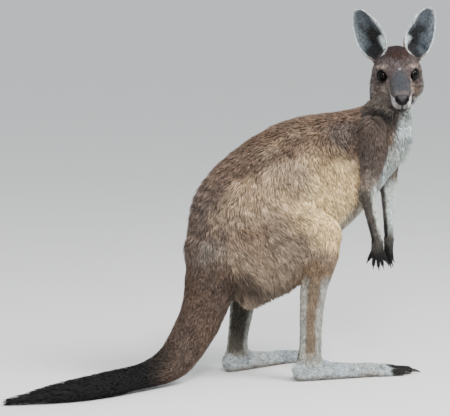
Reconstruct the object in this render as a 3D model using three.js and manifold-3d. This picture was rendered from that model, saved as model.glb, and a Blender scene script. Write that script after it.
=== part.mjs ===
import * as THREE from "three";
import { mergeVertices } from "three/addons/utils/BufferGeometryUtils.js";
import Module from "manifold-3d";

// A western grey kangaroo, life size, at rest on both hind feet and its tail with
// the head turned to its right. Millimetres, +Z up, +X the way the hips face, +Y
// the animal's left, floor at z = 0. The solids reach the tips of the coat. The
// body is one smooth form, parted into named lengths by thin flat cuts.

const wasm = await Module();
wasm.setup();

// ---- Driving dimensions ----
const GAP = 0.3; // between neighbouring solids
const MIDDLE = [-160.35, -2.12]; // middle of the outline on the floor, in the body's frame
const STEPS = 5; // smooth steps between two stations of a sweep
const REACH = 60; // how far beyond its own box a form can blend with others

const HEAD_PLACE = [326, -105, 763]; // midway between the eyes
const HEAD_TURN = -115.7; // heading of the face, degrees from +X
const HEAD_DIP = -26.5; // pitch of the muzzle
const HEAD_ROLL = 2.8; // its left side up
const EYE_RADIUS = 14.5;
const EYE_PLACE = [-3, 37.5, -2]; // forward, to the side, up, from HEAD_PLACE
const EAR_LENGTH = [132, 126.5]; // the right, the left
const EAR_ROOT = [-50, 43.5, 28];
const EAR_LEAN = 23; // outwards from upright
const EAR_TURN = 8; // the open side, outwards from the face's heading
const EAR_THICK = 4;
const EAR_GAP = 1.5; // from an ear's root to the head, whose faces are coarse

const HAND_CLAW = { length: 17, radius: 2.9, sunk: 5 };
const TOE_CLAW = { length: 27, radius: 5.4, sunk: 7 };
const SIDE_CLAW = { length: 20, radius: 4.0, sunk: 6 };
const SMALL_CLAW = { length: 12, radius: 2.2, sunk: 4 };

const COAT = { color: 0x7d654f, roughness: 0.95 };
const PALE_COAT = { color: 0xa89a89, roughness: 0.95 };
const DARK_COAT = { color: 0x2a2320, roughness: 0.9 };
const CLAW = { color: 0x17130f, roughness: 0.45 };
const EYE = { color: 0x0d0806, roughness: 0.1 };

// ---- Vectors, as plain arrays ----
const add = (a, b) => a.map((value, i) => value + b[i]);
const sub = (a, b) => a.map((value, i) => value - b[i]);
const scale = (a, k) => a.map((value) => value * k);
const mix = (a, b, t) => a.map((value, i) => value + (b[i] - value) * t);
const dot = (a, b) => a[0] * b[0] + a[1] * b[1] + a[2] * b[2];
const unit = (a) => scale(a, 1 / Math.sqrt(dot(a, a)));
const cross = (a, b) => [
  a[1] * b[2] - a[2] * b[1],
  a[2] * b[0] - a[0] * b[2],
  a[0] * b[1] - a[1] * b[0],
];
const square = (a, b) => unit(sub(a, scale(b, dot(a, b)))); // a, turned square to b
const rad = THREE.MathUtils.degToRad;
const heading = (degrees) => [Math.cos(rad(degrees)), Math.sin(rad(degrees)), 0];
const leftOf = (degrees) => [-Math.sin(rad(degrees)), Math.cos(rad(degrees)), 0];

// ---- Forms: each gives a signed distance ----

// Rows drawn out into a Catmull-Rom curve, each row a list of numbers
function smoothRows(rows, steps) {
  const last = rows.length - 1;
  const before = sub(scale(rows[0], 2), rows[1]);
  const after = sub(scale(rows[last], 2), rows[last - 1]);
  const all = [before, ...rows, after];
  const out = [];
  for (let i = 1; i <= last; i++) {
    const [a, b, c, d] = all.slice(i - 1, i + 3);
    for (let k = 0; k < steps; k++) {
      const t = k / steps;
      out.push(b.map((value, j) => value + 0.5 * (t * (c[j] - a[j])
        + t * t * (2 * a[j] - 5 * value + 4 * c[j] - d[j])
        + t * t * t * (3 * value - a[j] - 3 * c[j] + d[j]))));
    }
  }
  out.push(rows[last]);
  return out;
}

// Distance to an ellipse or ellipsoid, near its surface
function ovalDistance(u, v, w, ru, rv, rw) {
  const inner = Math.hypot(u / ru, v / rv, w / rw);
  if (inner < 1e-3) return -Math.min(ru, rv, rw);
  return inner * (inner - 1) / Math.hypot(u / (ru * ru), v / (rv * rv), w / (rw * rw));
}

// A limb or length of body. Stations are x, y, z, half width, then the depth on
// each side of the line, above first; sides give the direction of the width.
class Sweep {
  constructor(stations, sides, blend, caps = [1, 1]) {
    const rows = smoothRows(stations, STEPS);
    const sideRows = smoothRows(sides.length === 3 && !sides[0].length
      ? stations.map(() => sides) : sides, STEPS);
    const last = rows.length - 1;
    this.blend = blend;
    this.caps = caps;
    this.rings = rows.map((row, i) => {
      const next = rows[Math.min(i + 1, last)].slice(0, 3);
      const along = unit(sub(next, rows[Math.max(i - 1, 0)].slice(0, 3)));
      const place = row.slice(0, 3);
      return { place, along, side: square(sideRows[i], along), half: row[3], up: row[4], down: row[5] };
    });
    const spread = this.rings.map((ring) => Math.max(ring.half, ring.up, ring.down));
    this.low = [0, 1, 2].map((k) => Math.min(...this.rings.map((ring, i) => ring.place[k] - spread[i])));
    this.high = [0, 1, 2].map((k) => Math.max(...this.rings.map((ring, i) => ring.place[k] + spread[i])));
  }

  distance(point) {
    let best = Infinity;
    let at = 0;
    let part = 0;
    for (let i = 0; i < this.rings.length - 1; i++) {
      const start = this.rings[i].place;
      const step = sub(this.rings[i + 1].place, start);
      const away = sub(point, start);
      const t = Math.min(Math.max(dot(away, step) / dot(step, step), 0), 1);
      const rest = sub(away, scale(step, t));
      const far = dot(rest, rest);
      if (far < best) {
        best = far;
        at = i;
        part = t;
      }
    }
    const a = this.rings[at];
    const b = this.rings[at + 1];
    const along = unit(mix(a.along, b.along, part));
    const side = unit(mix(a.side, b.side, part));
    const away = sub(point, mix(a.place, b.place, part));
    const rise = dot(away, cross(along, side));
    const half = a.half + (b.half - a.half) * part;
    const tall = rise > 0 ? a.up + (b.up - a.up) * part : a.down + (b.down - a.down) * part;
    const first = at === 0 && part === 0;
    const final = at === this.rings.length - 2 && part === 1;
    const beyond = first || final ? dot(away, along) : 0;
    const cap = Math.min(half, tall) * this.caps[first ? 0 : 1];
    return ovalDistance(dot(away, side), rise, beyond, half, tall, cap);
  }
}

// An ellipsoid, its radii along three square axes
class Ball {
  constructor(place, radii, axes, blend) {
    const most = Math.max(...radii);
    Object.assign(this, { place, radii, axes, blend });
    this.low = place.map((value) => value - most);
    this.high = place.map((value) => value + most);
  }

  distance(point) {
    const away = sub(point, this.place);
    const [u, v, w] = this.axes.map((axis) => dot(away, axis));
    return ovalDistance(u, v, w, ...this.radii);
  }
}

// ---- Trunk, neck and tail ----
const trunkTurns = [0, 0, 0, 0, -8, -20, -30, -38]; // the chest turns to the right
const trunk = new Sweep([
  [-160, 0, 330, 62, 69, 95],
  [-105, 0, 385, 96, 126, 130],
  [-25, 0, 438, 120, 148, 160],
  [65, 0, 478, 130, 159, 168],
  [145, -3, 512, 124, 154, 160],
  [215, -15, 548, 98, 130, 135],
  [268, -35, 582, 78, 104, 108],
  [310, -55, 612, 70, 80, 86],
], trunkTurns.map(leftOf), 30);

const neck = new Sweep([
  [285, -45, 602, 72, 68, 80],
  [320, -60, 652, 65, 58, 62],
  [346, -49, 702, 60, 53, 54],
  [354, -45, 742, 46, 44, 44],
], [-38, -55, -80, -105].map(leftOf), 35);

const tail = new Sweep([
  [-112, 0, 350, 86, 80, 80],
  [-150, 1, 275, 73, 70, 70],
  [-168, 0, 213, 58, 63, 62],
  [-183, -2, 172, 53, 58, 58],
  [-206, -8, 134, 50, 55, 55],
  [-258, -26, 75, 43, 48, 50],
  [-299, -40, 50, 39, 41, 46],
  [-345, -58, 39, 35, 34, 39],
  [-400, -82, 34, 32, 30, 34],
  [-500, -122, 32, 30, 32, 32],
  [-580, -140, 29, 29, 30, 29],
  [-649, -142, 24, 24, 24, 24],
  [-715, -131, 15.5, 15, 15, 15.5],
  [-760, -121, 9, 8, 8, 9],
], leftOf(0), 30);

// ---- Hind legs: side is -1 on the right, +1 on the left ----
function makeLeg({ side, shift, spread, ankle, turn, thicker }) {
  const [ankleX, ankleY] = ankle;
  const front = heading(turn);
  const left = leftOf(turn);
  const along = (forward, sideways, height) => [
    ankleX + front[0] * forward + left[0] * sideways,
    ankleY + front[1] * forward + left[1] * sideways,
    height,
  ];
  const thigh = new Sweep([
    [-98 + shift * 0.5, side * 66, 345, 52, 70, 164],
    [-30 + shift * 0.6, side * 84, 350, 60, 88, 140],
    [35 + shift * 0.8, side * 100, 356, 57, 84, 112],
    [88 + shift, side * (spread - 6), 356, 46, 58, 78],
  ], leftOf(0), 42);
  const shank = new Sweep([
    [96 + shift, side * (spread - 6), 366, 44, 42, 46],
    [84 + shift, side * (spread - 3), 308, 40, 44, 48],
    [66 + shift, side * spread, 240, 31 + thicker, 36 + thicker, 38 + thicker],
    [57 + shift, side * (spread + 2), 172, 25.5 + thicker, 31 + thicker, 32 + thicker],
    [ankleX + 2, ankleY, 92, 23.5, 29, 30],
    [ankleX, ankleY, 50, 25, 30, 34],
  ], [leftOf(0), leftOf(0), leftOf(0), leftOf(0), left, left], 16);
  const foot = new Sweep([
    [...along(-26, 0, 27), 22, 22, 30],
    [...along(14, 0, 29), 25, 29, 32],
    [...along(55, 0, 23), 23.5, 22, 26],
    [...along(110, 0, 20), 22.5, 19, 22],
    [...along(175, 0, 18), 22, 17, 20],
    [...along(222, 0, 14), 19, 14, 16],
  ], left, 14);
  const longToe = new Sweep([
    [...along(205, side, 15), 14, 13, 16],
    [...along(245, side, 13), 12.5, 11.5, 14],
    [...along(275, side, 11), 10.5, 10, 12],
  ], left, 8);
  const outerToe = new Sweep([
    [...along(190, side * 14, 13), 10, 11, 14],
    [...along(225, side * 19, 11), 9, 9.5, 12],
    [...along(248, side * 21, 9.5), 8, 8, 10],
  ], left, 6);
  const innerToe = new Sweep([
    [...along(185, side * -14, 12), 8, 9, 12],
    [...along(215, side * -16, 10), 7, 8, 10.5],
    [...along(234, side * -16, 9), 6, 6.5, 9],
  ], left, 6);
  return { forms: [thigh, shank, foot, longToe, outerToe, innerToe], along, front, left, side };
}
const legs = {
  right: makeLeg({ side: -1, shift: 0, spread: 132, ankle: [52, -134], turn: -6, thicker: 0 }),
  left: makeLeg({ side: 1, shift: -66, spread: 106, ankle: [-34, 90], turn: 17, thicker: 3 }),
};

// ---- Arms: the palm's width lies along across, the fingers point down ----
const FINGERS = [
  { splay: -30, offset: -13, length: 20 },
  { splay: -8, offset: -7, length: 31 },
  { splay: 3, offset: 0, length: 34 },
  { splay: 10, offset: 7, length: 30 },
  { splay: 22, offset: 13, length: 20 },
];

function makeArm({ shoulder, elbow, wrist, down, across }) {
  const upper = new Sweep([
    [...add(shoulder, [-8, 0, 22]), 35, 44, 42],
    [...mix(shoulder, elbow, 0.38), 36, 35, 36],
    [...elbow, 23, 24, 25],
  ], across, 7);
  const fore = new Sweep([
    [...elbow, 22, 22, 24],
    [...mix(elbow, wrist, 0.35), 17.5, 17.5, 18.5],
    [...mix(elbow, wrist, 0.7), 15, 13.5, 13.5],
    [...wrist, 14, 12, 12],
  ], across, 10);
  const palmDown = unit(down);
  const palmAcross = square(across, palmDown);
  const palmOut = cross(palmDown, palmAcross);
  const palm = new Sweep([
    [...wrist, 14, 11, 11],
    [...add(wrist, scale(palmDown, 16)), 16.5, 11, 11],
    [...add(wrist, scale(palmDown, 32)), 17, 9.5, 9.5],
  ], palmAcross, 8);
  const fingers = FINGERS.map(({ splay, offset, length }) => {
    const root = add(add(wrist, scale(palmDown, 26)), scale(palmAcross, offset));
    const spread = add(scale(palmDown, Math.cos(rad(splay))), scale(palmAcross, Math.sin(rad(splay))));
    const aim = unit(add(spread, scale(palmOut, -0.1)));
    const middle = add(root, scale(aim, length / 2));
    const tip = add(root, scale(aim, length));
    const form = new Sweep([[...root, 6, 6, 6], [...middle, 5.6, 5.6, 5.6], [...tip, 4.6, 4.6, 4.6]],
      palmAcross, 5);
    return { form, tip, aim };
  });
  const forms = [upper, fore, palm, ...fingers.map((finger) => finger.form)];
  return { forms, fingers, shoulder, elbow, wrist, palmDown, palmAcross, palmOut };
}
const arms = {
  right: makeArm({
    shoulder: [256, -107, 606], elbow: [231, -109, 470], wrist: [277, -88, 333],
    down: [0.02, 0, -1], across: [0.75, -0.66, 0],
  }),
  left: makeArm({
    shoulder: [345, -5, 600], elbow: [354, -14, 476], wrist: [333, -54, 335],
    down: [-0.05, -0.02, -1], across: [-0.15, -0.99, 0],
  }),
};

// ---- Head, in its own axes: forward along the muzzle, to the left, up ----
const headForward = [
  Math.cos(rad(HEAD_DIP)) * Math.cos(rad(HEAD_TURN)),
  Math.cos(rad(HEAD_DIP)) * Math.sin(rad(HEAD_TURN)),
  Math.sin(rad(HEAD_DIP)),
];
const levelLeft = leftOf(HEAD_TURN);
const levelUp = cross(headForward, levelLeft);
const headLeft = add(scale(levelLeft, Math.cos(rad(HEAD_ROLL))), scale(levelUp, Math.sin(rad(HEAD_ROLL))));
const headUp = cross(headForward, headLeft);
const headAxes = [headForward, headLeft, headUp];
function onHead([forward, left, up]) {
  const flat = add(scale(headForward, forward), scale(headLeft, left));
  return add(HEAD_PLACE, add(flat, scale(headUp, up)));
}
const headSweep = (rows, blend, caps) => new Sweep(
  rows.map(([forward, up, ...sizes]) => [...onHead([forward, 0, up]), ...sizes]), headLeft, blend, caps);
const headBall = (place, radii, blend) => new Ball(onHead(place), radii, headAxes, blend);

const head = [
  headBall([-46, 0, 2], [60, 54, 47], 20),
  headSweep([
    [-40, 4, 48, 42, 50],
    [-8, -2, 41, 38, 46],
    [22, -9, 33, 31, 40],
    [50, -14, 29, 26, 38],
    [76, -18, 26.5, 20, 33],
    [97, -21, 22, 16, 26],
  ], 14, [1, 0.7]),
  headSweep([
    [-60, -46, 40, 34, 34],
    [-10, -44, 38, 26, 28],
    [36, -52, 26, 19, 19],
    [74, -56, 17, 11, 10],
  ], 14),
];
for (const side of [1, -1]) {
  head.push(headBall([-34, side * 36.5, -47], [38, 33, 46], 22)); // cheek
  head.push(headBall([-30, side * 38, -8], [29, 23, 22], 16)); // cheek bone
  head.push(headBall([-6, side * 33, 13], [22, 13, 12], 12)); // brow
  head.push(headBall([82, side * 10.5, -35], [22, 12.5, 18], 8)); // upper lip
}
head.push(headBall([104, 0, -15], [9, 18, 12], 6)); // nose

// ---- The whole form ----
const upperLimbs = [legs.right, legs.left].flatMap((leg) => leg.forms.slice(0, 2))
  .concat([arms.right, arms.left].map((arm) => arm.forms[0]));
const core = [trunk, neck, tail, ...upperLimbs, ...head];

// Distance to some of the forms, each blended into those before it
const distanceTo = (chosen) => (point) => {
  let result = 5 * REACH;
  for (const form of chosen) {
    if (point.some((value, k) => value < form.low[k] - REACH || value > form.high[k] + REACH)) continue;
    const near = form.distance(point);
    const overlap = Math.max(form.blend - Math.abs(result - near), 0) / form.blend;
    result = Math.min(result, near) - overlap * overlap * form.blend / 4;
  }
  return result;
};

// ---- Solids ----
function toSolid(geometry) {
  const bare = geometry.clone();
  bare.deleteAttribute("normal");
  bare.deleteAttribute("uv");
  const merged = mergeVertices(bare, 1e-4);
  return new wasm.Manifold(new wasm.Mesh({
    numProp: 3,
    vertProperties: new Float32Array(merged.attributes.position.array),
    triVerts: new Uint32Array(merged.index.array),
  }));
}

function indexed(points, triangles) {
  const geometry = new THREE.BufferGeometry();
  geometry.setAttribute("position", new THREE.Float32BufferAttribute(points.flat(), 3));
  geometry.setIndex(triangles.flat());
  return geometry;
}

// A box with its own axes: middle, half sizes and axes
function boxSolid({ middle, half, axes }, grow = 0) {
  const geometry = new THREE.BoxGeometry(...half.map((value) => 2 * (value + grow)));
  const frame = new THREE.Matrix4().makeBasis(...axes.map((axis) => new THREE.Vector3(...axis)));
  geometry.applyMatrix4(frame.setPosition(...middle));
  return toSolid(geometry);
}

const UPRIGHT = [[1, 0, 0], [0, 1, 0], [0, 0, 1]];
const span = (low, high, axes = UPRIGHT) => ({
  middle: mix(low, high, 0.5), half: scale(sub(high, low), 0.5), axes,
});

// The surface where a distance is zero, inside one box, as a closed mesh: a
// vertex for each sheet of surface in each cell, moved onto the surface
function surface(distance, box, cell) {
  const counts = box.half.map((half, k) => Math.ceil(2 * half / cell[k]) + 5);
  const start = counts.map((count, k) => -cell[k] * (count - 1) / 2);
  const stride = [1, counts[0], counts[0] * counts[1]];
  const toWorld = (cells) => cells.reduce(
    (sum, value, k) => add(sum, scale(box.axes[k], start[k] + value * cell[k])), box.middle);
  const values = new Float64Array(counts[0] * counts[1] * counts[2]);
  const edgeOf = (x, y, z) => [x, y, z].some((value, k) => value === 0 || value === counts[k] - 1);
  for (let z = 0, at = 0; z < counts[2]; z++) {
    for (let y = 0; y < counts[1]; y++) {
      for (let x = 0; x < counts[0]; x++, at++) {
        const value = distance(toWorld([x, y, z]));
        values[at] = edgeOf(x, y, z) ? Math.max(value, 1) : value;
      }
    }
  }
  const corners = [];
  for (let n = 0; n < 8; n++) corners.push([n & 1, (n >> 1) & 1, n >> 2]);
  const offsets = corners.map((corner) => dot(corner, stride));
  const points = [];
  const pointOf = new Map(); // by cell and by inside corner
  for (let z = 0; z < counts[2] - 1; z++) {
    for (let y = 0; y < counts[1] - 1; y++) {
      for (let x = 0; x < counts[0] - 1; x++) {
        const base = dot([x, y, z], stride);
        const inside = offsets.map((offset) => values[base + offset] < 0);
        if (inside.every((state) => state === inside[0])) continue;
        for (const group of insideGroups(inside)) {
          let sum = [0, 0, 0];
          let crossings = 0;
          for (const a of group) {
            for (const b of [a ^ 1, a ^ 2, a ^ 4]) {
              if (inside[b]) continue;
              const low = values[base + offsets[a]];
              const high = values[base + offsets[b]];
              sum = add(sum, mix(corners[a], corners[b], low / (low - high)));
              crossings++;
            }
            pointOf.set(8 * base + a, points.length);
          }
          const place = toWorld(add([x, y, z], scale(sum, 1 / crossings)));
          points.push(settle(distance, place, cell));
        }
      }
    }
  }
  const triangles = [];
  for (let z = 0; z < counts[2] - 1; z++) {
    for (let y = 0; y < counts[1] - 1; y++) {
      for (let x = 0; x < counts[0] - 1; x++) {
        const base = dot([x, y, z], stride);
        for (let k = 0; k < 3; k++) {
          const leaves = values[base] < 0;
          if (leaves === (values[base + stride[k]] < 0)) continue;
          const b = (k + 1) % 3;
          const c = (k + 2) % 3;
          const own = leaves ? 0 : 1 << k; // the edge's inside end, as a corner
          const ring = [[1, 1], [0, 1], [0, 0], [1, 0]].map(([backB, backC]) => pointOf.get(
            8 * (base - backB * stride[b] - backC * stride[c]) + own + (backB << b) + (backC << c)));
          triangles.push(...splitQuad(points, leaves ? ring : ring.reverse()));
        }
      }
    }
  }
  return toSolid(indexed(points, triangles));
}

// The inside corners of a cell, in groups that share edges of the cell
function insideGroups(inside) {
  const groups = [];
  const seen = new Set();
  for (let first = 0; first < 8; first++) {
    if (!inside[first] || seen.has(first)) continue;
    const group = [first];
    seen.add(first);
    for (const a of group) {
      for (const b of [a ^ 1, a ^ 2, a ^ 4]) {
        if (!inside[b] || seen.has(b)) continue;
        seen.add(b);
        group.push(b);
      }
    }
    groups.push(group);
  }
  return groups;
}

// Two short steps down the slope of the distance
function settle(distance, start, cell) {
  const nudge = 0.5;
  const most = Math.min(...cell) * 0.35;
  let point = start;
  for (let round = 0; round < 2; round++) {
    const here = distance(point);
    const slope = UPRIGHT.map((axis) => (
      distance(add(point, scale(axis, nudge))) - distance(sub(point, scale(axis, nudge)))) / (2 * nudge));
    const steep = Math.max(dot(slope, slope), 0.1);
    const move = scale(slope, -here / steep);
    const far = Math.sqrt(dot(move, move));
    point = add(point, scale(move, Math.min(1, most / Math.max(far, 1e-9))));
  }
  return point;
}

function splitQuad(points, [a, b, c, d]) {
  const ac = sub(points[a], points[c]);
  const bd = sub(points[b], points[d]);
  return dot(ac, ac) < dot(bd, bd) ? [[a, b, c], [a, c, d]] : [[a, b, d], [b, c, d]];
}

// Rings of equal count joined into a closed solid; each end is zipped across
function loft(rings) {
  const count = rings[0].length;
  const triangles = [];
  const quad = (a, b, c, d) => triangles.push([a, b, c], [a, c, d]);
  for (let i = 0; i < rings.length - 1; i++) {
    for (let j = 0; j < count; j++) {
      const next = (j + 1) % count;
      quad(i * count + j, i * count + next, (i + 1) * count + next, (i + 1) * count + j);
    }
  }
  const top = (rings.length - 1) * count;
  for (let j = 0; j < count / 2 - 1; j++) {
    quad(j + 1, j, count - 1 - j, count - 2 - j);
    quad(top + j, top + j + 1, top + count - 2 - j, top + count - 1 - j);
  }
  const points = rings.flat();
  const volume = triangles.reduce((sum, [a, b, c]) => sum + dot(points[a], cross(points[b], points[c])), 0);
  return toSolid(indexed(points, volume > 0 ? triangles : triangles.map((corners) => corners.reverse())));
}

// A curved, tapering claw; grow makes the slightly larger form that its bed is
// cut with
function clawSolid({ length, radius, sunk }, root, aim, droop, grow = 0) {
  const sides = 4;
  const across = unit(cross(aim, droop));
  const rings = [0, 0.5, 0.85, 1].map((t) => {
    const forward = scale(aim, -sunk - grow + (length + sunk + 2 * grow) * t);
    const place = add(root, add(forward, scale(droop, length * 0.3 * t * t)));
    const size = radius * (1 - 0.86 * t * t) + grow;
    const ring = [];
    for (let j = 0; j < sides; j++) {
      const angle = 2 * Math.PI * (j + 0.5) / sides;
      const sideways = scale(across, size * 0.8 * Math.cos(angle));
      ring.push(add(place, add(sideways, scale(cross(across, aim), size * Math.sin(angle)))));
    }
    return ring;
  });
  return loft(rings);
}

// A cupped leaf, open to the front and rolled into a tube at its root
function earSolid(side) {
  const widths = [[-0.12, 14], [0, 22], [0.1, 30], [0.22, 35.5], [0.38, 37.5], [0.56, 35.5],
    [0.74, 29], [0.88, 20.5], [0.96, 12], [1, 3]];
  const halfArc = 7;
  const length = EAR_LENGTH[side < 0 ? 0 : 1];
  const face = heading(HEAD_TURN);
  const outward = scale(levelLeft, side);
  const lean = rad(EAR_LEAN - side * HEAD_ROLL);
  const upright = add([0, 0, Math.cos(lean)], scale(outward, Math.sin(lean)));
  const axis = unit(add(upright, scale(face, -0.12)));
  const turned = add(scale(face, Math.cos(rad(EAR_TURN))), scale(outward, Math.sin(rad(EAR_TURN))));
  const open = square(turned, axis);
  const across = cross(axis, open);
  const root = onHead([EAR_ROOT[0], side * EAR_ROOT[1], EAR_ROOT[2]]);
  const rings = widths.map(([t, width]) => {
    const roll = rad(30 + 90 * Math.pow(1 - Math.max(t, 0), 1.3));
    const radius = width / Math.sin(Math.min(roll, Math.PI / 2));
    const forward = radius * Math.cos(Math.min(roll, Math.PI / 2));
    const middle = add(root, scale(axis, length * t));
    const outer = [];
    const inner = [];
    for (let j = 0; j < halfArc; j++) {
      const share = -1 + 2 * j / (halfArc - 1);
      const thick = EAR_THICK / 2 * (0.55 + 0.45 * Math.cos(share * Math.PI / 2));
      for (const [list, away] of [[outer, thick], [inner, -thick]]) {
        const reach = radius + away;
        const sideways = scale(across, reach * Math.sin(roll * share));
        list.push(add(middle, add(sideways, scale(open, forward - reach * Math.cos(roll * share)))));
      }
    }
    return [...outer, ...inner.reverse()];
  });
  return loft(rings);
}

// ---- Nodes ----
const kangaroo = new THREE.Group();
kangaroo.position.set(-MIDDLE[0], -MIDDLE[1], 0);

function addNode(name, solid, look) {
  const mesh = solid.getMesh();
  const geometry = new THREE.BufferGeometry();
  geometry.setAttribute("position", new THREE.BufferAttribute(new Float32Array(mesh.vertProperties), 3));
  geometry.setIndex(new THREE.BufferAttribute(new Uint32Array(mesh.triVerts), 1));
  const node = new THREE.Mesh(geometry, new THREE.MeshStandardMaterial({ metalness: 0, ...look }));
  node.name = name;
  kangaroo.add(node);
}

const aboveFloor = boxSolid(span([-900, -400, 0], [600, 400, 1100]));
const taken = []; // boxes that already belong to a node, grown by the gap

// One length of the body: all of it inside a box that no earlier node has taken
function addFlesh(name, chosen, box, cell, look, beds = []) {
  const cuts = [...taken, ...beds];
  const whole = surface(distanceTo(chosen), box, cell).intersect(boxSolid(box)).intersect(aboveFloor);
  addNode(name, cuts.reduce((solid, cut) => solid.subtract(cut), whole), look);
  taken.push(boxSolid(box, GAP));
}

// A box along a limb, its middle moved to the chest's left by outward
function limbBox(from, to, deep, wide, outward) {
  const whole = sub(to, from);
  const along = unit(whole);
  const across = square(leftOf(-28), along);
  const middle = add(mix(from, to, 0.5), scale(across, outward));
  const half = [deep, wide, Math.sqrt(dot(whole, whole)) / 2];
  return { middle, half, axes: [cross(across, along), across, along] };
}

// Arms, from the fingers up
const DOWN = [0, 0, -1];
for (const [side, arm] of Object.entries(arms)) {
  const palmAxes = [arm.palmAcross, scale(arm.palmOut, -1), scale(arm.palmDown, -1)];
  const palmMiddle = add(arm.wrist, scale(arm.palmDown, 45));
  const beds = [];
  arm.fingers.forEach(({ tip, aim }, i) => {
    const curl = square(arm.palmOut, aim);
    addNode(`hand_claw_${side}_${i + 1}`, clawSolid(HAND_CLAW, tip, aim, scale(curl, -1)), CLAW);
    beds.push(clawSolid(HAND_CLAW, tip, aim, scale(curl, -1), GAP));
  });
  const hand = { middle: palmMiddle, half: [38, 21, 45], axes: palmAxes };
  addFlesh(`hand_${side}`, arm.forms, hand, [6.8, 6.8, 8], DARK_COAT, beds);
  const foreBox = limbBox(arm.wrist, arm.elbow, 28, 28, 0);
  addFlesh(`forearm_${side}`, arm.forms, foreBox, [11, 11, 24], PALE_COAT);
  const outward = side === "left" ? 22 : -22;
  const upperBox = limbBox(arm.elbow, add(arm.shoulder, [-8, 0, 60]), 54, 40, outward);
  addFlesh(`upper_arm_${side}`, [...core, arm.forms[1]], upperBox, [18, 18, 22], COAT);
}

// Hind legs, from the toes up
for (const [side, leg] of Object.entries(legs)) {
  const toes = [
    ["long", TOE_CLAW, 284, leg.side, 11, 0],
    ["outer", SIDE_CLAW, 255, leg.side * 21, 9.5, 0],
    ["inner_a", SMALL_CLAW, 239, leg.side * -13, 9, 2],
    ["inner_b", SMALL_CLAW, 239, leg.side * -19, 9, -2],
  ];
  const beds = [];
  for (const [name, size, forward, sideways, height, splay] of toes) {
    const aim = unit(add(leg.front, scale(leg.left, rad(splay))));
    const root = leg.along(forward, sideways, height);
    addNode(`toe_claw_${name}_${side}`, clawSolid(size, root, aim, DOWN).intersect(aboveFloor), CLAW);
    beds.push(clawSolid(size, root, aim, DOWN, GAP));
  }
  const footAxes = [leg.front, leg.left, [0, 0, 1]];
  const foot = { middle: leg.along(125, 0, 30), half: [190, 46, 34], axes: footAxes };
  addFlesh(`foot_${side}`, leg.forms, foot, [25, 12.5, 12], PALE_COAT, beds);
  const inner = leg.side * 62;
  const outer = leg.side * 230;
  const low = Math.min(inner, outer);
  const high = Math.max(inner, outer);
  const shin = span([leg.side < 0 ? 5 : -75, low, 64], [170, high, 300]);
  addFlesh(`shank_${side}`, [...core, ...leg.forms], shin, [19, 19, 32], PALE_COAT);
  const thigh = span([-210, Math.min(leg.side * 86, outer), 130], [170, Math.max(leg.side * 86, outer), 442]);
  addFlesh(`thigh_${side}`, core, thigh, [33, 33, 33], COAT);
}

// Tail, from the tip up
addFlesh("tail_4", [tail], span([-800, -200, -20], [-560, 20, 120]), [26, 12, 12], DARK_COAT);
addFlesh("tail_3", [tail], span([-560, -200, -20], [-340, 60, 140]), [36, 18, 18], DARK_COAT);
addFlesh("tail_2", core, span([-340, -110, -20], [-96, 100, 150]), [30, 30, 30], COAT);
addFlesh("tail_1", core, span([-290, -62, 150], [-92, 62, 300]), [32, 32, 32], COAT);

// Head, with a socket for each eye and a bed for each ear
const sockets = [];
for (const [side, sign] of [["left", 1], ["right", -1]]) {
  const place = onHead([EYE_PLACE[0], sign * EYE_PLACE[1], EYE_PLACE[2]]);
  const ball = (radius) => toSolid(new THREE.SphereGeometry(radius, 10, 8).translate(...place));
  addNode(`eye_${side}`, ball(EYE_RADIUS), EYE);
  sockets.push(ball(EYE_RADIUS + GAP * 1.2));
}
const headBox = {
  middle: onHead([2, 0, -1]), half: [128, 86, 81], axes: headAxes,
};
const headCell = [14, 14, 14];
const headDistance = distanceTo([neck, ...head]);
const earCut = surface((point) => headDistance(point) - EAR_GAP, headBox, headCell);
addNode("ear_left", earSolid(1).subtract(earCut), PALE_COAT);
addNode("ear_right", earSolid(-1).subtract(earCut), PALE_COAT);
addFlesh("head", [neck, ...head], headBox, headCell, COAT, sockets);

const NECK_TILT = 32;
const neckUp = [Math.sin(rad(NECK_TILT)), 0, Math.cos(rad(NECK_TILT))];
const neckAxes = [cross([0, 1, 0], neckUp), [0, 1, 0], neckUp];
const neckMiddle = add([322, -60, 648], scale(neckUp, 70));
addFlesh("neck", core, { middle: neckMiddle, half: [130, 105, 70], axes: neckAxes }, [24, 24, 24], COAT);

addFlesh("trunk", core, span([-240, -190, 140], [420, 190, 720]), [40, 40, 40], COAT);

export default kangaroo;
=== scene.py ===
import math

import bmesh
import bpy
import numpy as np
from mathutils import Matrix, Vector
from mathutils.kdtree import KDTree


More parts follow.
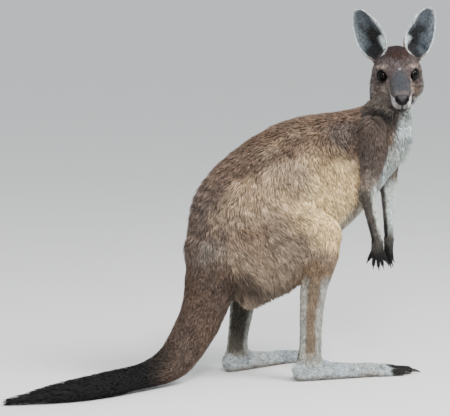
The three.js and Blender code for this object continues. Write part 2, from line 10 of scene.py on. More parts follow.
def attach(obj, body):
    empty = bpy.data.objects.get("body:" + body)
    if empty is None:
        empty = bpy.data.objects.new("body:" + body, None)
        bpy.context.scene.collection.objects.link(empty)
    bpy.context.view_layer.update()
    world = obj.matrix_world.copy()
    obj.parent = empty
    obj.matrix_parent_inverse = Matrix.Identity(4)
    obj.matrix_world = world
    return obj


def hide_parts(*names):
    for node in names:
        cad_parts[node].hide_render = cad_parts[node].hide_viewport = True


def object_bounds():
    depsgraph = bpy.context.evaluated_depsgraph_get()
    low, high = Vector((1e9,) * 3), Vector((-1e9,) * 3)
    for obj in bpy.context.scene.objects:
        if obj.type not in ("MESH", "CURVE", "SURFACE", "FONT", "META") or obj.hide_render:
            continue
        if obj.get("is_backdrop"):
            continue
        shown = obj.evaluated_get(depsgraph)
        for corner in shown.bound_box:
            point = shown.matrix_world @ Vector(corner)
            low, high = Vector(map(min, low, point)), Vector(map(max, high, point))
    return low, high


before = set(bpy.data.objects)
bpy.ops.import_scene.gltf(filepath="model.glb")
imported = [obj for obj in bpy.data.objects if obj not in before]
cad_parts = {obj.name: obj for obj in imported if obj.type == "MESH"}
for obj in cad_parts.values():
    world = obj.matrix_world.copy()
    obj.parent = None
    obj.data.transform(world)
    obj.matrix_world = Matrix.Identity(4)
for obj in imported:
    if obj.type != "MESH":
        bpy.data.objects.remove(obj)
cad_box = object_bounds()

# ---- Camera ----
# A long lens, a little above the animal's back and square to its right side,
# turned so that the head is seen full face.
LENS = 192
CAMERA_PLACE = (-2.77865, -5.30288, 0.9775)
CAMERA_HEADING = 28  # degrees to the right of +Y
CAMERA_DIP = math.degrees(math.atan(218 / 2400))  # below level
camera_data = bpy.data.cameras.new("camera")
camera_data.lens = LENS
camera_data.sensor_width = 36
camera_data.clip_end = 2000
camera = bpy.data.objects.new("camera", camera_data)
camera.location = CAMERA_PLACE
camera.rotation_euler = (math.radians(90 - CAMERA_DIP), 0, math.radians(-CAMERA_HEADING))
bpy.context.collection.objects.link(camera)
bpy.context.scene.camera = camera

# ---- Skin: trunk, neck, tail and limbs ----
# One closed skin covers the whole animal, slimmer than its outline by the depth
# of the coat. Each length of body is a form with a signed distance, in the
# body's frame in millimetres, and each is blended into those before it.
MIDDLE = np.array([-160.35, -2.12, 0.0])  # middle of the outline, in the body's frame
STEPS = 5  # of a curve from each station to the next
REACH = 60  # a form has no say further away than this
FAR = 300.0
NUDGE = 0.5
EDGE = 10  # room left round the forms


def to_metres(points):
    return (points - MIDDLE) / 1000


def unit(vectors):
    vectors = np.asarray(vectors, float)
    return vectors / np.maximum(np.linalg.norm(vectors, axis=-1, keepdims=True), 1e-9)


def dots(a, b):
    return np.einsum("ij,ij->i", a, b)


def heading(degrees):
    return np.array([math.cos(math.radians(degrees)), math.sin(math.radians(degrees)), 0])


def left_of(degrees):
    return heading(degrees + 90)


def smooth_rows(rows):
    """Rows drawn out into a Catmull-Rom curve"""
    rows = np.array(rows, float)
    ends = np.vstack([2 * rows[0] - rows[1], rows, 2 * rows[-1] - rows[-2]])
    out = []
    for i in range(1, len(rows)):
        a, b, c, d = ends[i - 1:i + 3]
        for k in range(STEPS):
            t = k / STEPS
            out.append(b + 0.5 * (t * (c - a) + t * t * (2 * a - 5 * b + 4 * c - d)
                                  + t ** 3 * (3 * b - a - 3 * c + d)))
    return np.array(out + [rows[-1]])


def oval_distance(offsets, radii):
    """Distance to an ellipsoid, near its surface"""
    inner = np.sqrt(((offsets / radii) ** 2).sum(1))
    slope = np.sqrt(((offsets / radii ** 2) ** 2).sum(1))
    return np.where(inner < 1e-3, -radii.min(1), inner * (inner - 1) / np.maximum(slope, 1e-9))


DEPTH, LENGTH, WIDTH, SPACE, GATHER = range(5)


class Hair:
    """How hair grows on a form: depth of the coat, length and width of a tuft,
    space between tufts, and how much tufts gather into locks; millimetres"""

    def __init__(self, depth, length, width, space, gather=0.0):
        self.numbers = np.array([depth, length, width, space, gather], float)
        self.depth = depth


class Sweep:
    """A length of body. Stations are x, y, z, half width, then the depth on each
    side of the line, above first. Flow is 1 where hair runs with the stations, -1
    against them, sag turns it towards the ground, and swing is its way on the flanks."""

    def __init__(self, name, stations, sides, blend, hair, flow=1, sag=0.0, swing=None,
                 caps=(1, 1), slimmer=0.0):
        self.name, self.blend, self.hair, self.caps = name, blend, hair, caps
        self.flow, self.sag, self.swing = flow, sag, swing
        rows = smooth_rows(stations)
        sides = np.array(sides, float)
        if sides.ndim == 1:
            sides = np.repeat(sides[None], len(stations), 0)
        self.place = rows[:, :3]
        sizes = rows[:, 3:6]
        self.low = (self.place - sizes.max(1)[:, None]).min(0)
        self.high = (self.place + sizes.max(1)[:, None]).max(0)
        self.sizes = sizes - np.minimum(hair.depth + slimmer, 0.4 * sizes)
        self.along = unit(np.gradient(self.place, axis=0))
        across = smooth_rows(sides)
        self.side = unit(across - dots(across, self.along)[:, None] * self.along)

    def local(self, points):
        """Station number, offsets to the side, above and along, the three sizes, and the axes"""
        best = np.full(len(points), np.inf)
        at = np.zeros(len(points), int)
        part = np.zeros(len(points))
        for i in range(len(self.place) - 1):
            step = self.place[i + 1] - self.place[i]
            away = points - self.place[i]
            t = np.clip(away @ step / (step @ step), 0, 1)
            away -= t[:, None] * step
            gap = dots(away, away)
            closer = gap < best
            best[closer], at[closer], part[closer] = gap[closer], i, t[closer]

        def between(values):
            share = part[:, None]
            return values[at] * (1 - share) + values[at + 1] * share
        along = unit(between(self.along))
        side = unit(between(self.side))
        above = np.cross(along, side)
        away = points - between(self.place)
        station = at + part
        final = len(self.place) - 1
        ended = (station <= 1e-6) | (station >= final - 1e-6)
        offsets = np.stack([dots(away, side), dots(away, above), dots(away, along) * ended], 1)
        half, up, down = between(self.sizes).T
        tall = np.where(offsets[:, 1] > 0, up, down)
        cap = np.minimum(half, tall) * np.where(station <= 1e-6, *self.caps)
        return station / final, offsets, np.stack([half, tall, cap], 1), (along, side, above)

    def distance(self, points):
        _, offsets, radii, _ = self.local(points)
        return oval_distance(offsets, radii)

    def lie(self, points):
        _, offsets, sizes, axes = self.local(points)
        way = self.flow * axes[0] + np.array([0, 0, -self.sag])
        if self.swing is None:
            return way
        flank = np.clip((0.95 - offsets[:, 1] / sizes[:, 1]) / 0.8, 0, 1)[:, None]
        return way * (1 - flank) + np.array(self.swing) * flank

    def unrolled(self, points):
        """A place on the form, unrolled flat: round it and along it, each 0 to 1"""
        station, offsets, _, _ = self.local(points)
        return np.stack([np.arctan2(offsets[:, 0], offsets[:, 1]) / (2 * np.pi) + 0.5, station], 1)


class Ball:
    """An ellipsoid, its radii along three square axes"""

    def __init__(self, name, place, radii, axes, blend, hair, lie, slimmer=0.0):
        self.name, self.blend, self.hair, self.way = name, blend, hair, np.array(lie, float)
        self.place, self.axes = np.array(place, float), np.array(axes)
        self.low = self.place - max(radii)
        self.high = self.place + max(radii)
        self.radii = np.array(radii, float) - hair.depth - slimmer

    def distance(self, points):
        return oval_distance((points - self.place) @ self.axes.T, self.radii[None])

    def lie(self, points):
        return np.repeat(self.way[None], len(points), 0)

    def unrolled(self, points):
        away = unit((points - self.place) @ self.axes.T)
        return np.stack([np.arctan2(away[:, 1], away[:, 2]) / (2 * np.pi) + 0.5, 0.5 + 0.5 * away[:, 0]], 1)


TRUNK_HAIR = Hair(depth=9, length=27, width=2.1, space=3.4, gather=0.24)
NECK_HAIR = Hair(depth=8, length=19, width=1.9, space=2.7, gather=0.2)
TAIL_HAIR = Hair(depth=6.5, length=18, width=2.0, space=3.0, gather=0.22)
THIGH_HAIR = Hair(depth=8, length=24, width=2.0, space=3.1, gather=0.24)
KNEE_HAIR = Hair(depth=5, length=20, width=2.0, space=3.0, gather=0.2)
SHANK_HAIR = Hair(depth=3.5, length=10, width=1.6, space=2.6, gather=0.12)
FOOT_HAIR = Hair(depth=2.2, length=7, width=1.6, space=2.3, gather=0.1)
TOE_HAIR = Hair(depth=1.6, length=5, width=1.4, space=2.0)
UPPER_ARM_HAIR = Hair(depth=6, length=16, width=1.7, space=2.5, gather=0.2)
FOREARM_HAIR = Hair(depth=3, length=9, width=1.4, space=2.1, gather=0.12)
HAND_HAIR = Hair(depth=1.4, length=4.5, width=1.2, space=1.5)

trunk_turns = [0, 0, 0, 0, -8, -20, -30, -38]  # the chest turns to the right
trunk = Sweep("trunk", [
    [-160, 0, 330, 62, 69, 95],
    [-105, 0, 385, 96, 126, 130],
    [-25, 0, 438, 120, 148, 160],
    [65, 0, 478, 130, 159, 168],
    [145, -3, 512, 124, 154, 160],
    [215, -15, 548, 98, 130, 135],
    [268, -35, 582, 78, 104, 108],
    [310, -55, 612, 70, 80, 86],
], [left_of(turn) for turn in trunk_turns], 30, TRUNK_HAIR, flow=-1, sag=0.3, swing=(0.4, 0, -1))


def neck_form(slimmer):
    return Sweep("neck", [
        [285, -45, 602, 72, 68, 80],
        [320, -60, 652, 65, 58, 62],
        [346, -49, 702, 60, 53, 54],
        [354, -45, 742, 46, 44, 44],
    ], [left_of(turn) for turn in (-38, -55, -80, -105)], 35, NECK_HAIR, flow=-1, slimmer=slimmer)


tail = Sweep("tail", [
    [-112, 0, 350, 86, 80, 80],
    [-150, 1, 275, 73, 70, 70],
    [-168, 0, 213, 58, 63, 62],
    [-183, -2, 172, 53, 58, 58],
    [-206, -8, 134, 50, 55, 55],
    [-258, -26, 75, 43, 48, 50],
    [-299, -40, 50, 39, 41, 46],
    [-345, -58, 39, 35, 34, 39],
    [-400, -82, 34, 32, 30, 34],
    [-500, -122, 32, 30, 32, 32],
    [-580, -140, 29, 29, 30, 29],
    [-649, -142, 24, 24, 24, 24],
    [-715, -131, 15.5, 15, 15, 15.5],
    [-760, -121, 9, 8, 8, 9],
], left_of(0), 30, TAIL_HAIR)


# Stations of the foot and of the long, outer and inner toes: forward of the ankle,
# outward and up, then half width and the depth above and below; toes with their blends
FOOT_ROWS = [[-26, 0, 27, 22, 22, 30], [14, 0, 29, 25, 29, 32], [55, 0, 23, 23.5, 22, 26],
             [110, 0, 20, 22.5, 19, 22], [175, 0, 18, 22, 17, 20], [222, 0, 14, 19, 14, 16]]
FOOT_BLEND = 14
TOE_ROWS = [
    (8, [[205, 1, 15, 14, 13, 16], [245, 1, 13, 12.5, 11.5, 14], [275, 1, 11, 10.5, 10, 12]]),
    (5, [[190, 14, 13, 10, 11, 14], [225, 19, 11, 9, 9.5, 12], [248, 21, 9.5, 8, 8, 10]]),
    (5, [[185, -14, 12, 8, 9, 12], [215, -16, 10, 7, 8, 10.5], [234, -16, 9, 6, 6.5, 9]]),
]


class Leg:
    """A hind leg and its foot. Side is -1 on the right and 1 on the left."""

    def __init__(self, side, shift, spread, ankle, turn, thicker):
        self.side, self.ankle = side, np.array([*ankle, 0.0])
        self.front, self.left = heading(turn), left_of(turn)
        word = "right" if side < 0 else "left"
        self.thigh = Sweep("thigh_" + word, [
            [-98 + shift * 0.5, side * 66, 345, 52, 70, 164],
            [-30 + shift * 0.6, side * 84, 350, 60, 88, 140],
            [35 + shift * 0.8, side * 100, 356, 57, 84, 112],
            [88 + shift, side * (spread - 6), 356, 46, 58, 78],
        ], left_of(0), 42, THIGH_HAIR, flow=0.5, sag=1)
        self.shanks = [Sweep("shank_" + word, [
            [96 + shift, side * (spread - 6), 366, 44, 42, 46],
            [84 + shift, side * (spread - 3), 308, 40, 44, 48],
            [66 + shift, side * spread, 240, 31 + thicker, 36 + thicker, 38 + thicker],
            [57 + shift, side * (spread + 2), 172, 25.5 + thicker, 31 + thicker, 32 + thicker],
            [ankle[0] + 2, ankle[1], 92, 23.5, 29, 30],
            [ankle[0], ankle[1], 50, 25, 30, 34],
        ], [left_of(0)] * 4 + [self.left] * 2, 16, SHANK_HAIR, slimmer=slimmer) for slimmer in (0, 0.7)]
        self.foot = self.length_of_foot("foot_" + word, FOOT_ROWS, FOOT_BLEND, FOOT_HAIR)
        self.toes = [self.length_of_foot("toe_" + word, rows, blend, TOE_HAIR) for blend, rows in TOE_ROWS]

    def at(self, forward, outward, height):
        """A place on the foot: forward of the ankle, to the animal's outer side, and up"""
        return (self.ankle + self.front * forward + self.left * (self.side * outward)
                + np.array([0, 0, height]))

    def length_of_foot(self, name, rows, blend, hair):
        """The foot or a toe, from stations in the foot's own measures"""
        return Sweep(name, [[*self.at(*row[:3]), *row[3:]] for row in rows], self.left, blend, hair)


legs = [Leg(-1, 0, 132, (52, -134), -6, 0), Leg(1, -66, 106, (-34, 90), 17, 3)]

FINGERS = [(-30, -13, 20), (-8, -7, 31), (3, 0, 34), (10, 7, 30), (22, 13, 20)]  # splay, offset, length


class Arm:
    """A fore limb. The palm's width lies along across and the fingers point down."""

    def __init__(self, word, shoulder, elbow, wrist, down, across):
        shoulder, elbow, wrist = (np.array(place, float) for place in (shoulder, elbow, wrist))
        self.shoulder, self.elbow = shoulder, elbow

        def between(share):
            return elbow + (wrist - elbow) * share
        self.upper = Sweep("upper_arm_" + word, [
            [*(shoulder + [-8, 0, 22]), 35, 44, 42],
            [*(shoulder + (elbow - shoulder) * 0.38), 36, 35, 36],
            [*elbow, 23, 24, 25],
        ], across, 7, UPPER_ARM_HAIR)
        self.fores = [Sweep("forearm_" + word, [
            [*elbow, 22, 22, 24],
            [*between(0.35), 17.5, 17.5, 18.5],
            [*between(0.7), 15, 13.5, 13.5],
            [*wrist, 14, 12, 12],
        ], across, 10, FOREARM_HAIR, slimmer=slimmer) for slimmer in (0, 0.7)]
        self.down = unit(down)
        self.across = unit(across - self.down * (np.array(across) @ self.down))
        self.out = np.cross(self.down, self.across)
        self.hand = [Sweep("hand_" + word, [
            [*wrist, 14, 11, 11],
            [*(wrist + self.down * 16), 16.5, 11, 11],
            [*(wrist + self.down * 32), 17, 9.5, 9.5],
        ], self.across, 8, HAND_HAIR)]
        self.tips = []
        for splay, offset, length in FINGERS:
            root = wrist + self.down * 26 + self.across * offset
            turn = math.radians(splay)
            aim = unit(self.down * math.cos(turn) + self.across * math.sin(turn) - self.out * 0.1)
            stations = [[*root, 6, 6, 6], [*(root + aim * length / 2), 5.6, 5.6, 5.6],
                        [*(root + aim * length), 4.6, 4.6, 4.6]]
            self.hand.append(Sweep("hand_" + word, stations, self.across, 4, HAND_HAIR))
            self.tips.append((root + aim * length, aim))


arms = [
    Arm("right", [256, -107, 606], [231, -109, 470], [277, -88, 333], [0.02, 0, -1], [0.75, -0.66, 0]),
    Arm("left", [345, -5, 600], [354, -14, 476], [333, -54, 335], [-0.05, -0.02, -1], [-0.15, -0.99, 0]),
]

neck, neck_stub = neck_form(0), neck_form(0.8)
body_forms = [trunk, neck, tail]
for leg in legs:
    body_forms += [leg.thigh, leg.shanks[0]]
for arm in arms:
    body_forms += [arm.upper, arm.fores[0]]


def joined(forms, points):
    """Distance to all the forms, each blended into those before it"""
    result = np.full(len(points), FAR)
    for form in forms:
        near = np.all((points > form.low - REACH) & (points < form.high + REACH), axis=1)
        if not near.any():
            continue
        old = result[near]
        new = form.distance(points[near])
        overlap = np.maximum(form.blend - np.abs(old - new), 0) / form.blend
        result[near] = np.minimum(old, new) - overlap ** 2 * form.blend / 4
    return result


CORNERS = np.array([[n & 1, n >> 1 & 1, n >> 2] for n in range(8)])


def corner_groups():
    """For each way that a cell's corners can be inside, the group of each inside
    corner and the number of groups"""
    group = np.full((256, 8), -1)
    count = np.zeros(256, int)
    for filled in range(256):
        for first in range(8):
            if not filled >> first & 1 or group[filled, first] >= 0:
                continue
            members = [first]
            group[filled, first] = count[filled]
            for a in members:
                for b in (a ^ 1, a ^ 2, a ^ 4):
                    if filled >> b & 1 and group[filled, b] < 0:
                        group[filled, b] = count[filled]
                        members.append(b)
            count[filled] += 1
    return group, count


GROUP, GROUPS = corner_groups()


def fill_diagonals(values):
    """No face of a cell is left with only its two opposite corners inside, because
    sheets of surface would meet along an edge there"""
    for _ in range(6):
        found = 0
        for k in range(3):
            turned = values.swapaxes(0, k)
            a, b, c, d = (turned[:, i:turned.shape[1] - 1 + i, j:turned.shape[2] - 1 + j]
                          for i in (0, 1) for j in (0, 1))
            for first, second, empty, other in ((a, d, b, c), (b, c, a, d)):
                crossed = (first < 0) & (second < 0) & (empty >= 0) & (other >= 0)
                empty[crossed] = -1e-3
                found += crossed.sum()
        if not found:
            return


def surface(distance, lines, axes=np.eye(3), origin=np.zeros(3)):
    """The surface where a distance is zero, as points and four-sided faces, on a
    grid whose lines may be unevenly spaced. Only cells near it are worked out."""
    shape = tuple(len(line) for line in lines)
    block = 4
    middles = [np.array([line[i:i + block].mean() for i in range(0, len(line), block)]) for line in lines]
    coarse = np.stack(np.meshgrid(*middles, indexing="ij"), -1).reshape(-1, 3)
    rough = distance(origin + coarse @ axes).reshape([len(middle) for middle in middles])
    steps = [max(line[i + block - 1] - line[i] for i in range(0, len(line) - block + 1, block))
             for line in lines]
    reach = 0.8 * math.sqrt(sum(step ** 2 for step in steps)) + 3
    for k in range(3):
        rough = rough.repeat(block, k)
    values = np.ascontiguousarray(rough[:shape[0], :shape[1], :shape[2]])
    near = np.abs(values) < reach
    for k in range(3):
        values.swapaxes(0, k)[[0, -1]] = FAR
        near.swapaxes(0, k)[[0, -1]] = False
    where = np.argwhere(near)
    spots = np.stack([lines[k][where[:, k]] for k in range(3)], 1)
    values[near] = distance(origin + spots @ axes)
    fill_diagonals(values)
    inside = values < 0
    filled = sum(inside[x:shape[0] - 1 + x, y:shape[1] - 1 + y, z:shape[2] - 1 + z].astype(int) << n
                 for n, (x, y, z) in enumerate(CORNERS))
    cells = np.argwhere((filled > 0) & (filled < 255))
    kinds = filled[tuple(cells.T)]
    start = np.concatenate([[0], np.cumsum(GROUPS[kinds])])
    number = np.full(filled.shape, -1)
    number[tuple(cells.T)] = np.arange(len(cells))
    total = np.zeros((start[-1], 3))
    crossings = np.zeros(start[-1])
    for a in range(8):
        for k in range(3):
            b = a ^ 1 << k
            pick = (kinds >> a & 1 == 1) & (kinds >> b & 1 == 0)
            chosen = cells[pick]
            low = values[tuple((chosen + CORNERS[a]).T)]
            high = values[tuple((chosen + CORNERS[b]).T)]
            share = (low / (low - high))[:, None]
            ends = [np.stack([lines[m][chosen[:, m] + CORNERS[c][m]] for m in range(3)], 1) for c in (a, b)]
            points_at = start[:-1][pick] + GROUP[kinds[pick], a]
            total[points_at] += ends[0] * (1 - share) + ends[1] * share
            crossings[points_at] += 1
    points = origin + (total / crossings[:, None]) @ axes
    faces = []
    for k in range(3):
        b, c = (k + 1) % 3, (k + 2) % 3
        first = inside.swapaxes(0, k)[:-1].swapaxes(0, k)
        second = inside.swapaxes(0, k)[1:].swapaxes(0, k)
        edges = np.argwhere(first != second)
        leaves = first[tuple(edges.T)]
        ring = []
        for back_b, back_c in ((1, 1), (0, 1), (0, 0), (1, 0)):
            cell = edges.copy()
            cell[:, b] -= back_b
            cell[:, c] -= back_c
            corner = np.where(leaves, 0, 1 << k) + (back_b << b) + (back_c << c)
            index = number[tuple(cell.T)]
            ring.append(start[index] + GROUP[kinds[index], corner])
        ring = np.stack(ring, 1)
        ring[~leaves] = ring[~leaves][:, ::-1]
        faces.append(ring)
    return settle(distance, points), np.vstack(faces)


def settle(distance, points):
    """Each point moved a short way onto the surface, down the distance's slope"""
    slope = np.stack([distance(points + NUDGE * axis) - distance(points - NUDGE * axis)
                      for axis in np.eye(3)], 1) / (2 * NUDGE)
    move = -distance(points)[:, None] * slope / np.maximum((slope ** 2).sum(1), 0.1)[:, None]
    far = np.linalg.norm(move, axis=1)[:, None]
    return points + move * np.minimum(1, NUDGE / np.maximum(far, 1e-9))


def box_round(forms, room):
    return (np.min([form.low for form in forms], 0) - room,
            np.max([form.high for form in forms], 0) + room)


def even_lines(low, high, step):
    return [np.arange(low[k], high[k] + step, step) for k in range(3)]


def mesh_object(name, points, faces):
    """An object in place, from points in the body's frame and faces of equal size"""
    faces = np.asarray(faces)
    sides = faces.shape[1]
    mesh = bpy.data.meshes.new(name)
    mesh.vertices.add(len(points))
    mesh.vertices.foreach_set("co", to_metres(points).astype(np.float32).ravel())
    mesh.loops.add(faces.size)
    mesh.loops.foreach_set("vertex_index", faces.astype(np.int32).ravel())
    mesh.polygons.add(len(faces))
    mesh.polygons.foreach_set("loop_start", np.arange(0, faces.size, sides, dtype=np.int32))
    mesh.update(calc_edges=True)
    mesh.validate()
    made = bpy.data.objects.new(name, mesh)
    bpy.context.collection.objects.link(made)
    return made


BODY_CELL = 6.2
low, high = box_round(body_forms, EDGE)
low[2] = -18
skin_parts = [mesh_object("skin_body", *surface(
    lambda points: joined(body_forms, points), even_lines(low, high, BODY_CELL)))]

# ---- Skin: head and ears ----
# The head is built on its own axes, forward along the muzzle, to its left, and
# up, from midway between the eyes. The lids close round each eyeball, the bare
# nose has comma nostrils and a parted lip, and each ear is a cupped leaf.
HEAD_PLACE = np.array([326, -105, 763.0])
HEAD_TURN = -115.7
HEAD_DIP = math.radians(-26.5)
HEAD_ROLL = math.radians(2.8)  # its left side up
EYE_RADIUS = 14.5
EYE_PLACE = np.array([-3, 37.5, -2])
EYE_TURN = math.radians(34)  # the gaze, outwards from the muzzle's heading
LID_OPENING = np.array([58, 53])  # half angles of the opening, along and across
head_forward = math.cos(HEAD_DIP) * heading(HEAD_TURN) + np.array([0, 0, math.sin(HEAD_DIP)])
level_up = np.cross(head_forward, left_of(HEAD_TURN))
head_left = math.cos(HEAD_ROLL) * left_of(HEAD_TURN) + math.sin(HEAD_ROLL) * level_up
head_up = np.cross(head_forward, head_left)
head_axes = np.array([head_forward, head_left, head_up])


def on_head(forward, left, up):
    return HEAD_PLACE + np.array([forward, left, up]) @ head_axes


def head_sweep(name, rows, blend, hair, caps=(1, 1)):
    stations = [[*on_head(forward, 0, up), *sizes] for forward, up, *sizes in rows]
    return Sweep(name, stations, head_left, blend, hair, flow=-1, caps=caps)


def head_ball(name, place, radii, blend, hair, lie):
    return Ball(name, on_head(*place), radii, head_axes, blend, hair, np.array(lie) @ head_axes)


CROWN_HAIR = Hair(depth=3.2, length=10, width=1.5, space=1.8, gather=0.2)
CHEEK_HAIR = Hair(depth=3.0, length=9, width=1.4, space=1.6, gather=0.15)
MUZZLE_HAIR = Hair(depth=1.5, length=4.2, width=0.95, space=1.15)
BROW_HAIR = Hair(depth=1.8, length=5, width=1.0, space=1.2)
LIP_HAIR = Hair(depth=1.2, length=3.4, width=0.85, space=1.1)
JAW_HAIR = Hair(depth=2.4, length=7, width=1.3, space=1.5)
EAR_HAIR = Hair(depth=0.8, length=6, width=1.1, space=1.6)

head_forms = [
    head_ball("crown", (-46, 0, 2), (60, 54, 47), 20, CROWN_HAIR, (-1, 0, 0.1)),
    head_sweep("muzzle", [
        [-40, 4, 48, 42, 50],
        [-8, -2, 41, 38, 46],
        [22, -9, 33, 31, 40],
        [50, -14, 29, 26, 38],
        [76, -18, 26.5, 20, 33],
        [97, -21, 22, 16, 26],
    ], 14, MUZZLE_HAIR, caps=(1, 0.7)),
    head_sweep("jaw", [
        [-60, -46, 40, 34, 34],
        [-10, -44, 38, 26, 28],
        [36, -52, 26, 19, 19],
        [74, -56, 17, 11, 10],
    ], 14, JAW_HAIR),
]
for side in (1, -1):
    head_forms += [
        head_ball("cheek", (-34, side * 36.5, -47), (38, 33, 46), 22, CHEEK_HAIR, (-1, 0, -0.5)),
        head_ball("cheek", (-30, side * 38, -8), (29, 23, 22), 16, CHEEK_HAIR, (-1, 0, -0.3)),
        head_ball("brow", (-6, side * 33, 13), (22, 13, 12), 12, BROW_HAIR, (-1, side * 0.3, 0.4)),
        head_ball("lip", (82, side * 10.5, -35), (22, 12.5, 18), 8, LIP_HAIR, (-1, side * 0.4, -0.6)),
    ]
nose = head_ball("nose", (104, 0, -15), (9, 18, 12), 6, Hair(0.4, 2, 0.8, 1.2), (-1, 0, 0.3))


class Ear:
    """A cupped leaf, open to the front and rolled into a tube at its root"""

    ROOT = (-50, 43.5, 28)
    LEAN = math.radians(23)
    TURN = math.radians(8)
    # share of the length, and half the width of the opening
    WIDTHS = np.array([[-0.12, 14], [0, 22], [0.1, 30], [0.22, 35.5], [0.38, 37.5], [0.56, 35.5],
                       [0.74, 29], [0.88, 20.5], [0.96, 12], [1, 3]])
    THICK = 2.6
    ROUND = 15

    def __init__(self, side):
        self.name = "ear_left" if side > 0 else "ear_right"
        self.side, self.blend, self.hair = side, 7, EAR_HAIR
        self.length = 132 if side < 0 else 126.5
        face = heading(HEAD_TURN)
        outward = left_of(HEAD_TURN) * side
        lean = self.LEAN - side * HEAD_ROLL
        upright = np.array([0, 0, math.cos(lean)]) + outward * math.sin(lean)
        self.axis = unit(upright - face * 0.12)
        turned = face * math.cos(self.TURN) + outward * math.sin(self.TURN)
        self.open = unit(turned - self.axis * (turned @ self.axis))
        self.across = np.cross(self.axis, self.open)
        self.root = on_head(self.ROOT[0], side * self.ROOT[1], self.ROOT[2])
        tip = self.root + self.axis * self.length
        self.low, self.high = np.minimum(self.root, tip) - 50, np.maximum(self.root, tip) + 50

    def cup(self, t, half):
        """How far the cup wraps round, its radius, and its middle, forward of the ear's line"""
        roll = np.radians(30 + 90 * (1 - np.clip(t, 0, 1)) ** 1.3)
        radius = half / np.sin(np.minimum(roll, np.pi / 2))
        return roll, radius, radius * np.cos(np.minimum(roll, np.pi / 2))

    def local(self, points):
        """Height up the ear, turn round the cup from -1 to 1, and height out of its wall"""
        away = points - self.root
        height = away @ self.axis / self.length
        roll, radius, forward = self.cup(height, np.interp(height, *self.WIDTHS.T) - 1)
        x, y = away @ self.across, forward - away @ self.open
        return height, np.arctan2(x, y) / roll, np.hypot(x, y) - radius

    def shell(self):
        """The ear's closed skin: rings up the ear, each round its back and its inside"""
        rings = []
        turns = np.linspace(-1, 1, self.ROUND)
        for t, half in smooth_rows(self.WIDTHS):
            roll, radius, forward = self.cup(t, half - 1)
            swell = 1 + 1.3 * max(0.35 - t, 0)  # gristle at the root
            thick = self.THICK / 2 * swell * (0.55 + 0.45 * np.cos(turns * np.pi / 2))
            for away, order in ((thick, 1), (-thick, -1)):
                x = (radius + away) * np.sin(roll * turns)
                y = forward - (radius + away) * np.cos(roll * turns)
                flat = x[:, None] * self.across + y[:, None] * self.open
                rings.append((self.root + t * self.length * self.axis + flat)[::order])
        points = np.vstack(rings)
        count = 2 * self.ROUND
        last = len(points) - count
        j = np.arange(count)
        walls = [np.stack([i + j, i + (j + 1) % count, i + count + (j + 1) % count, i + count + j], 1)
                 for i in range(0, last, count)]
        j = np.arange(self.ROUND - 1)
        floor = np.stack([j + 1, j, count - 1 - j, count - 2 - j], 1)
        faces = np.vstack(walls + [floor, last + floor[:, ::-1]])
        a, b, c = (points[faces[:, k]] for k in (0, 1, 2))
        return points, faces if dots(a, np.cross(b, c)).sum() > 0 else faces[:, ::-1]

    def lie(self, points):
        """Up the back of the ear; inside it, from the inner edge across and up"""
        inside = self.local(points)[2][:, None] < 0
        return self.axis + inside * (0.7 * head_left * self.side + 0.3 * self.open)

    def unrolled(self, points):
        height, turn, over = self.local(points)
        return np.stack([(np.clip(turn, -1, 1) + 1) / 4 + 0.5 * (over < 0), np.clip(height, 0, 1)], 1)


ears = [Ear(1), Ear(-1)]
eyes = [on_head(EYE_PLACE[0], side * EYE_PLACE[1], EYE_PLACE[2]) for side in (1, -1)]
GAZE_UP = 0.25
gazes = [unit(np.array([math.cos(EYE_TURN), side * math.sin(EYE_TURN), GAZE_UP]) @ head_axes)
         for side in (1, -1)]


def lower(first, second, blend):
    """The lesser of two distances, blended"""
    overlap = np.maximum(blend - np.abs(first - second), 0) / blend
    return np.minimum(first, second) - overlap ** 2 * blend / 4


def round_eye(points, eye, gaze):
    """Distance from the eyeball's middle, and angles along and above the lids, in degrees"""
    away = points - eye
    far = np.linalg.norm(away, axis=1)
    along = unit(np.cross(head_up, gaze))
    above = np.cross(gaze, along)
    flat = away @ gaze
    return far, np.degrees(np.arctan2(away @ along, flat)), np.degrees(np.arctan2(away @ above, np.maximum(
        np.hypot(flat, away @ along), 1e-6)))


def lid_gap(points, eye, gaze):
    """Below 1 within the opening of the lids, and how far from the eye's middle"""
    far, along, above = round_eye(points, eye, gaze)
    return (np.abs(along / LID_OPENING[0]) ** 1.7 + np.abs(above / LID_OPENING[1]) ** 2) ** 0.55, far


def capsule(places, start, end, radius):
    step = np.array(end, float) - start
    t = np.clip((places - start) @ step / (step @ step), 0, 1)
    return np.linalg.norm(places - start - t[:, None] * step, axis=1) - radius


def mouth_height(forward):
    return -45.5 - 0.06 * (forward - 60) + 0.0035 * np.maximum(60 - forward, 0) ** 2


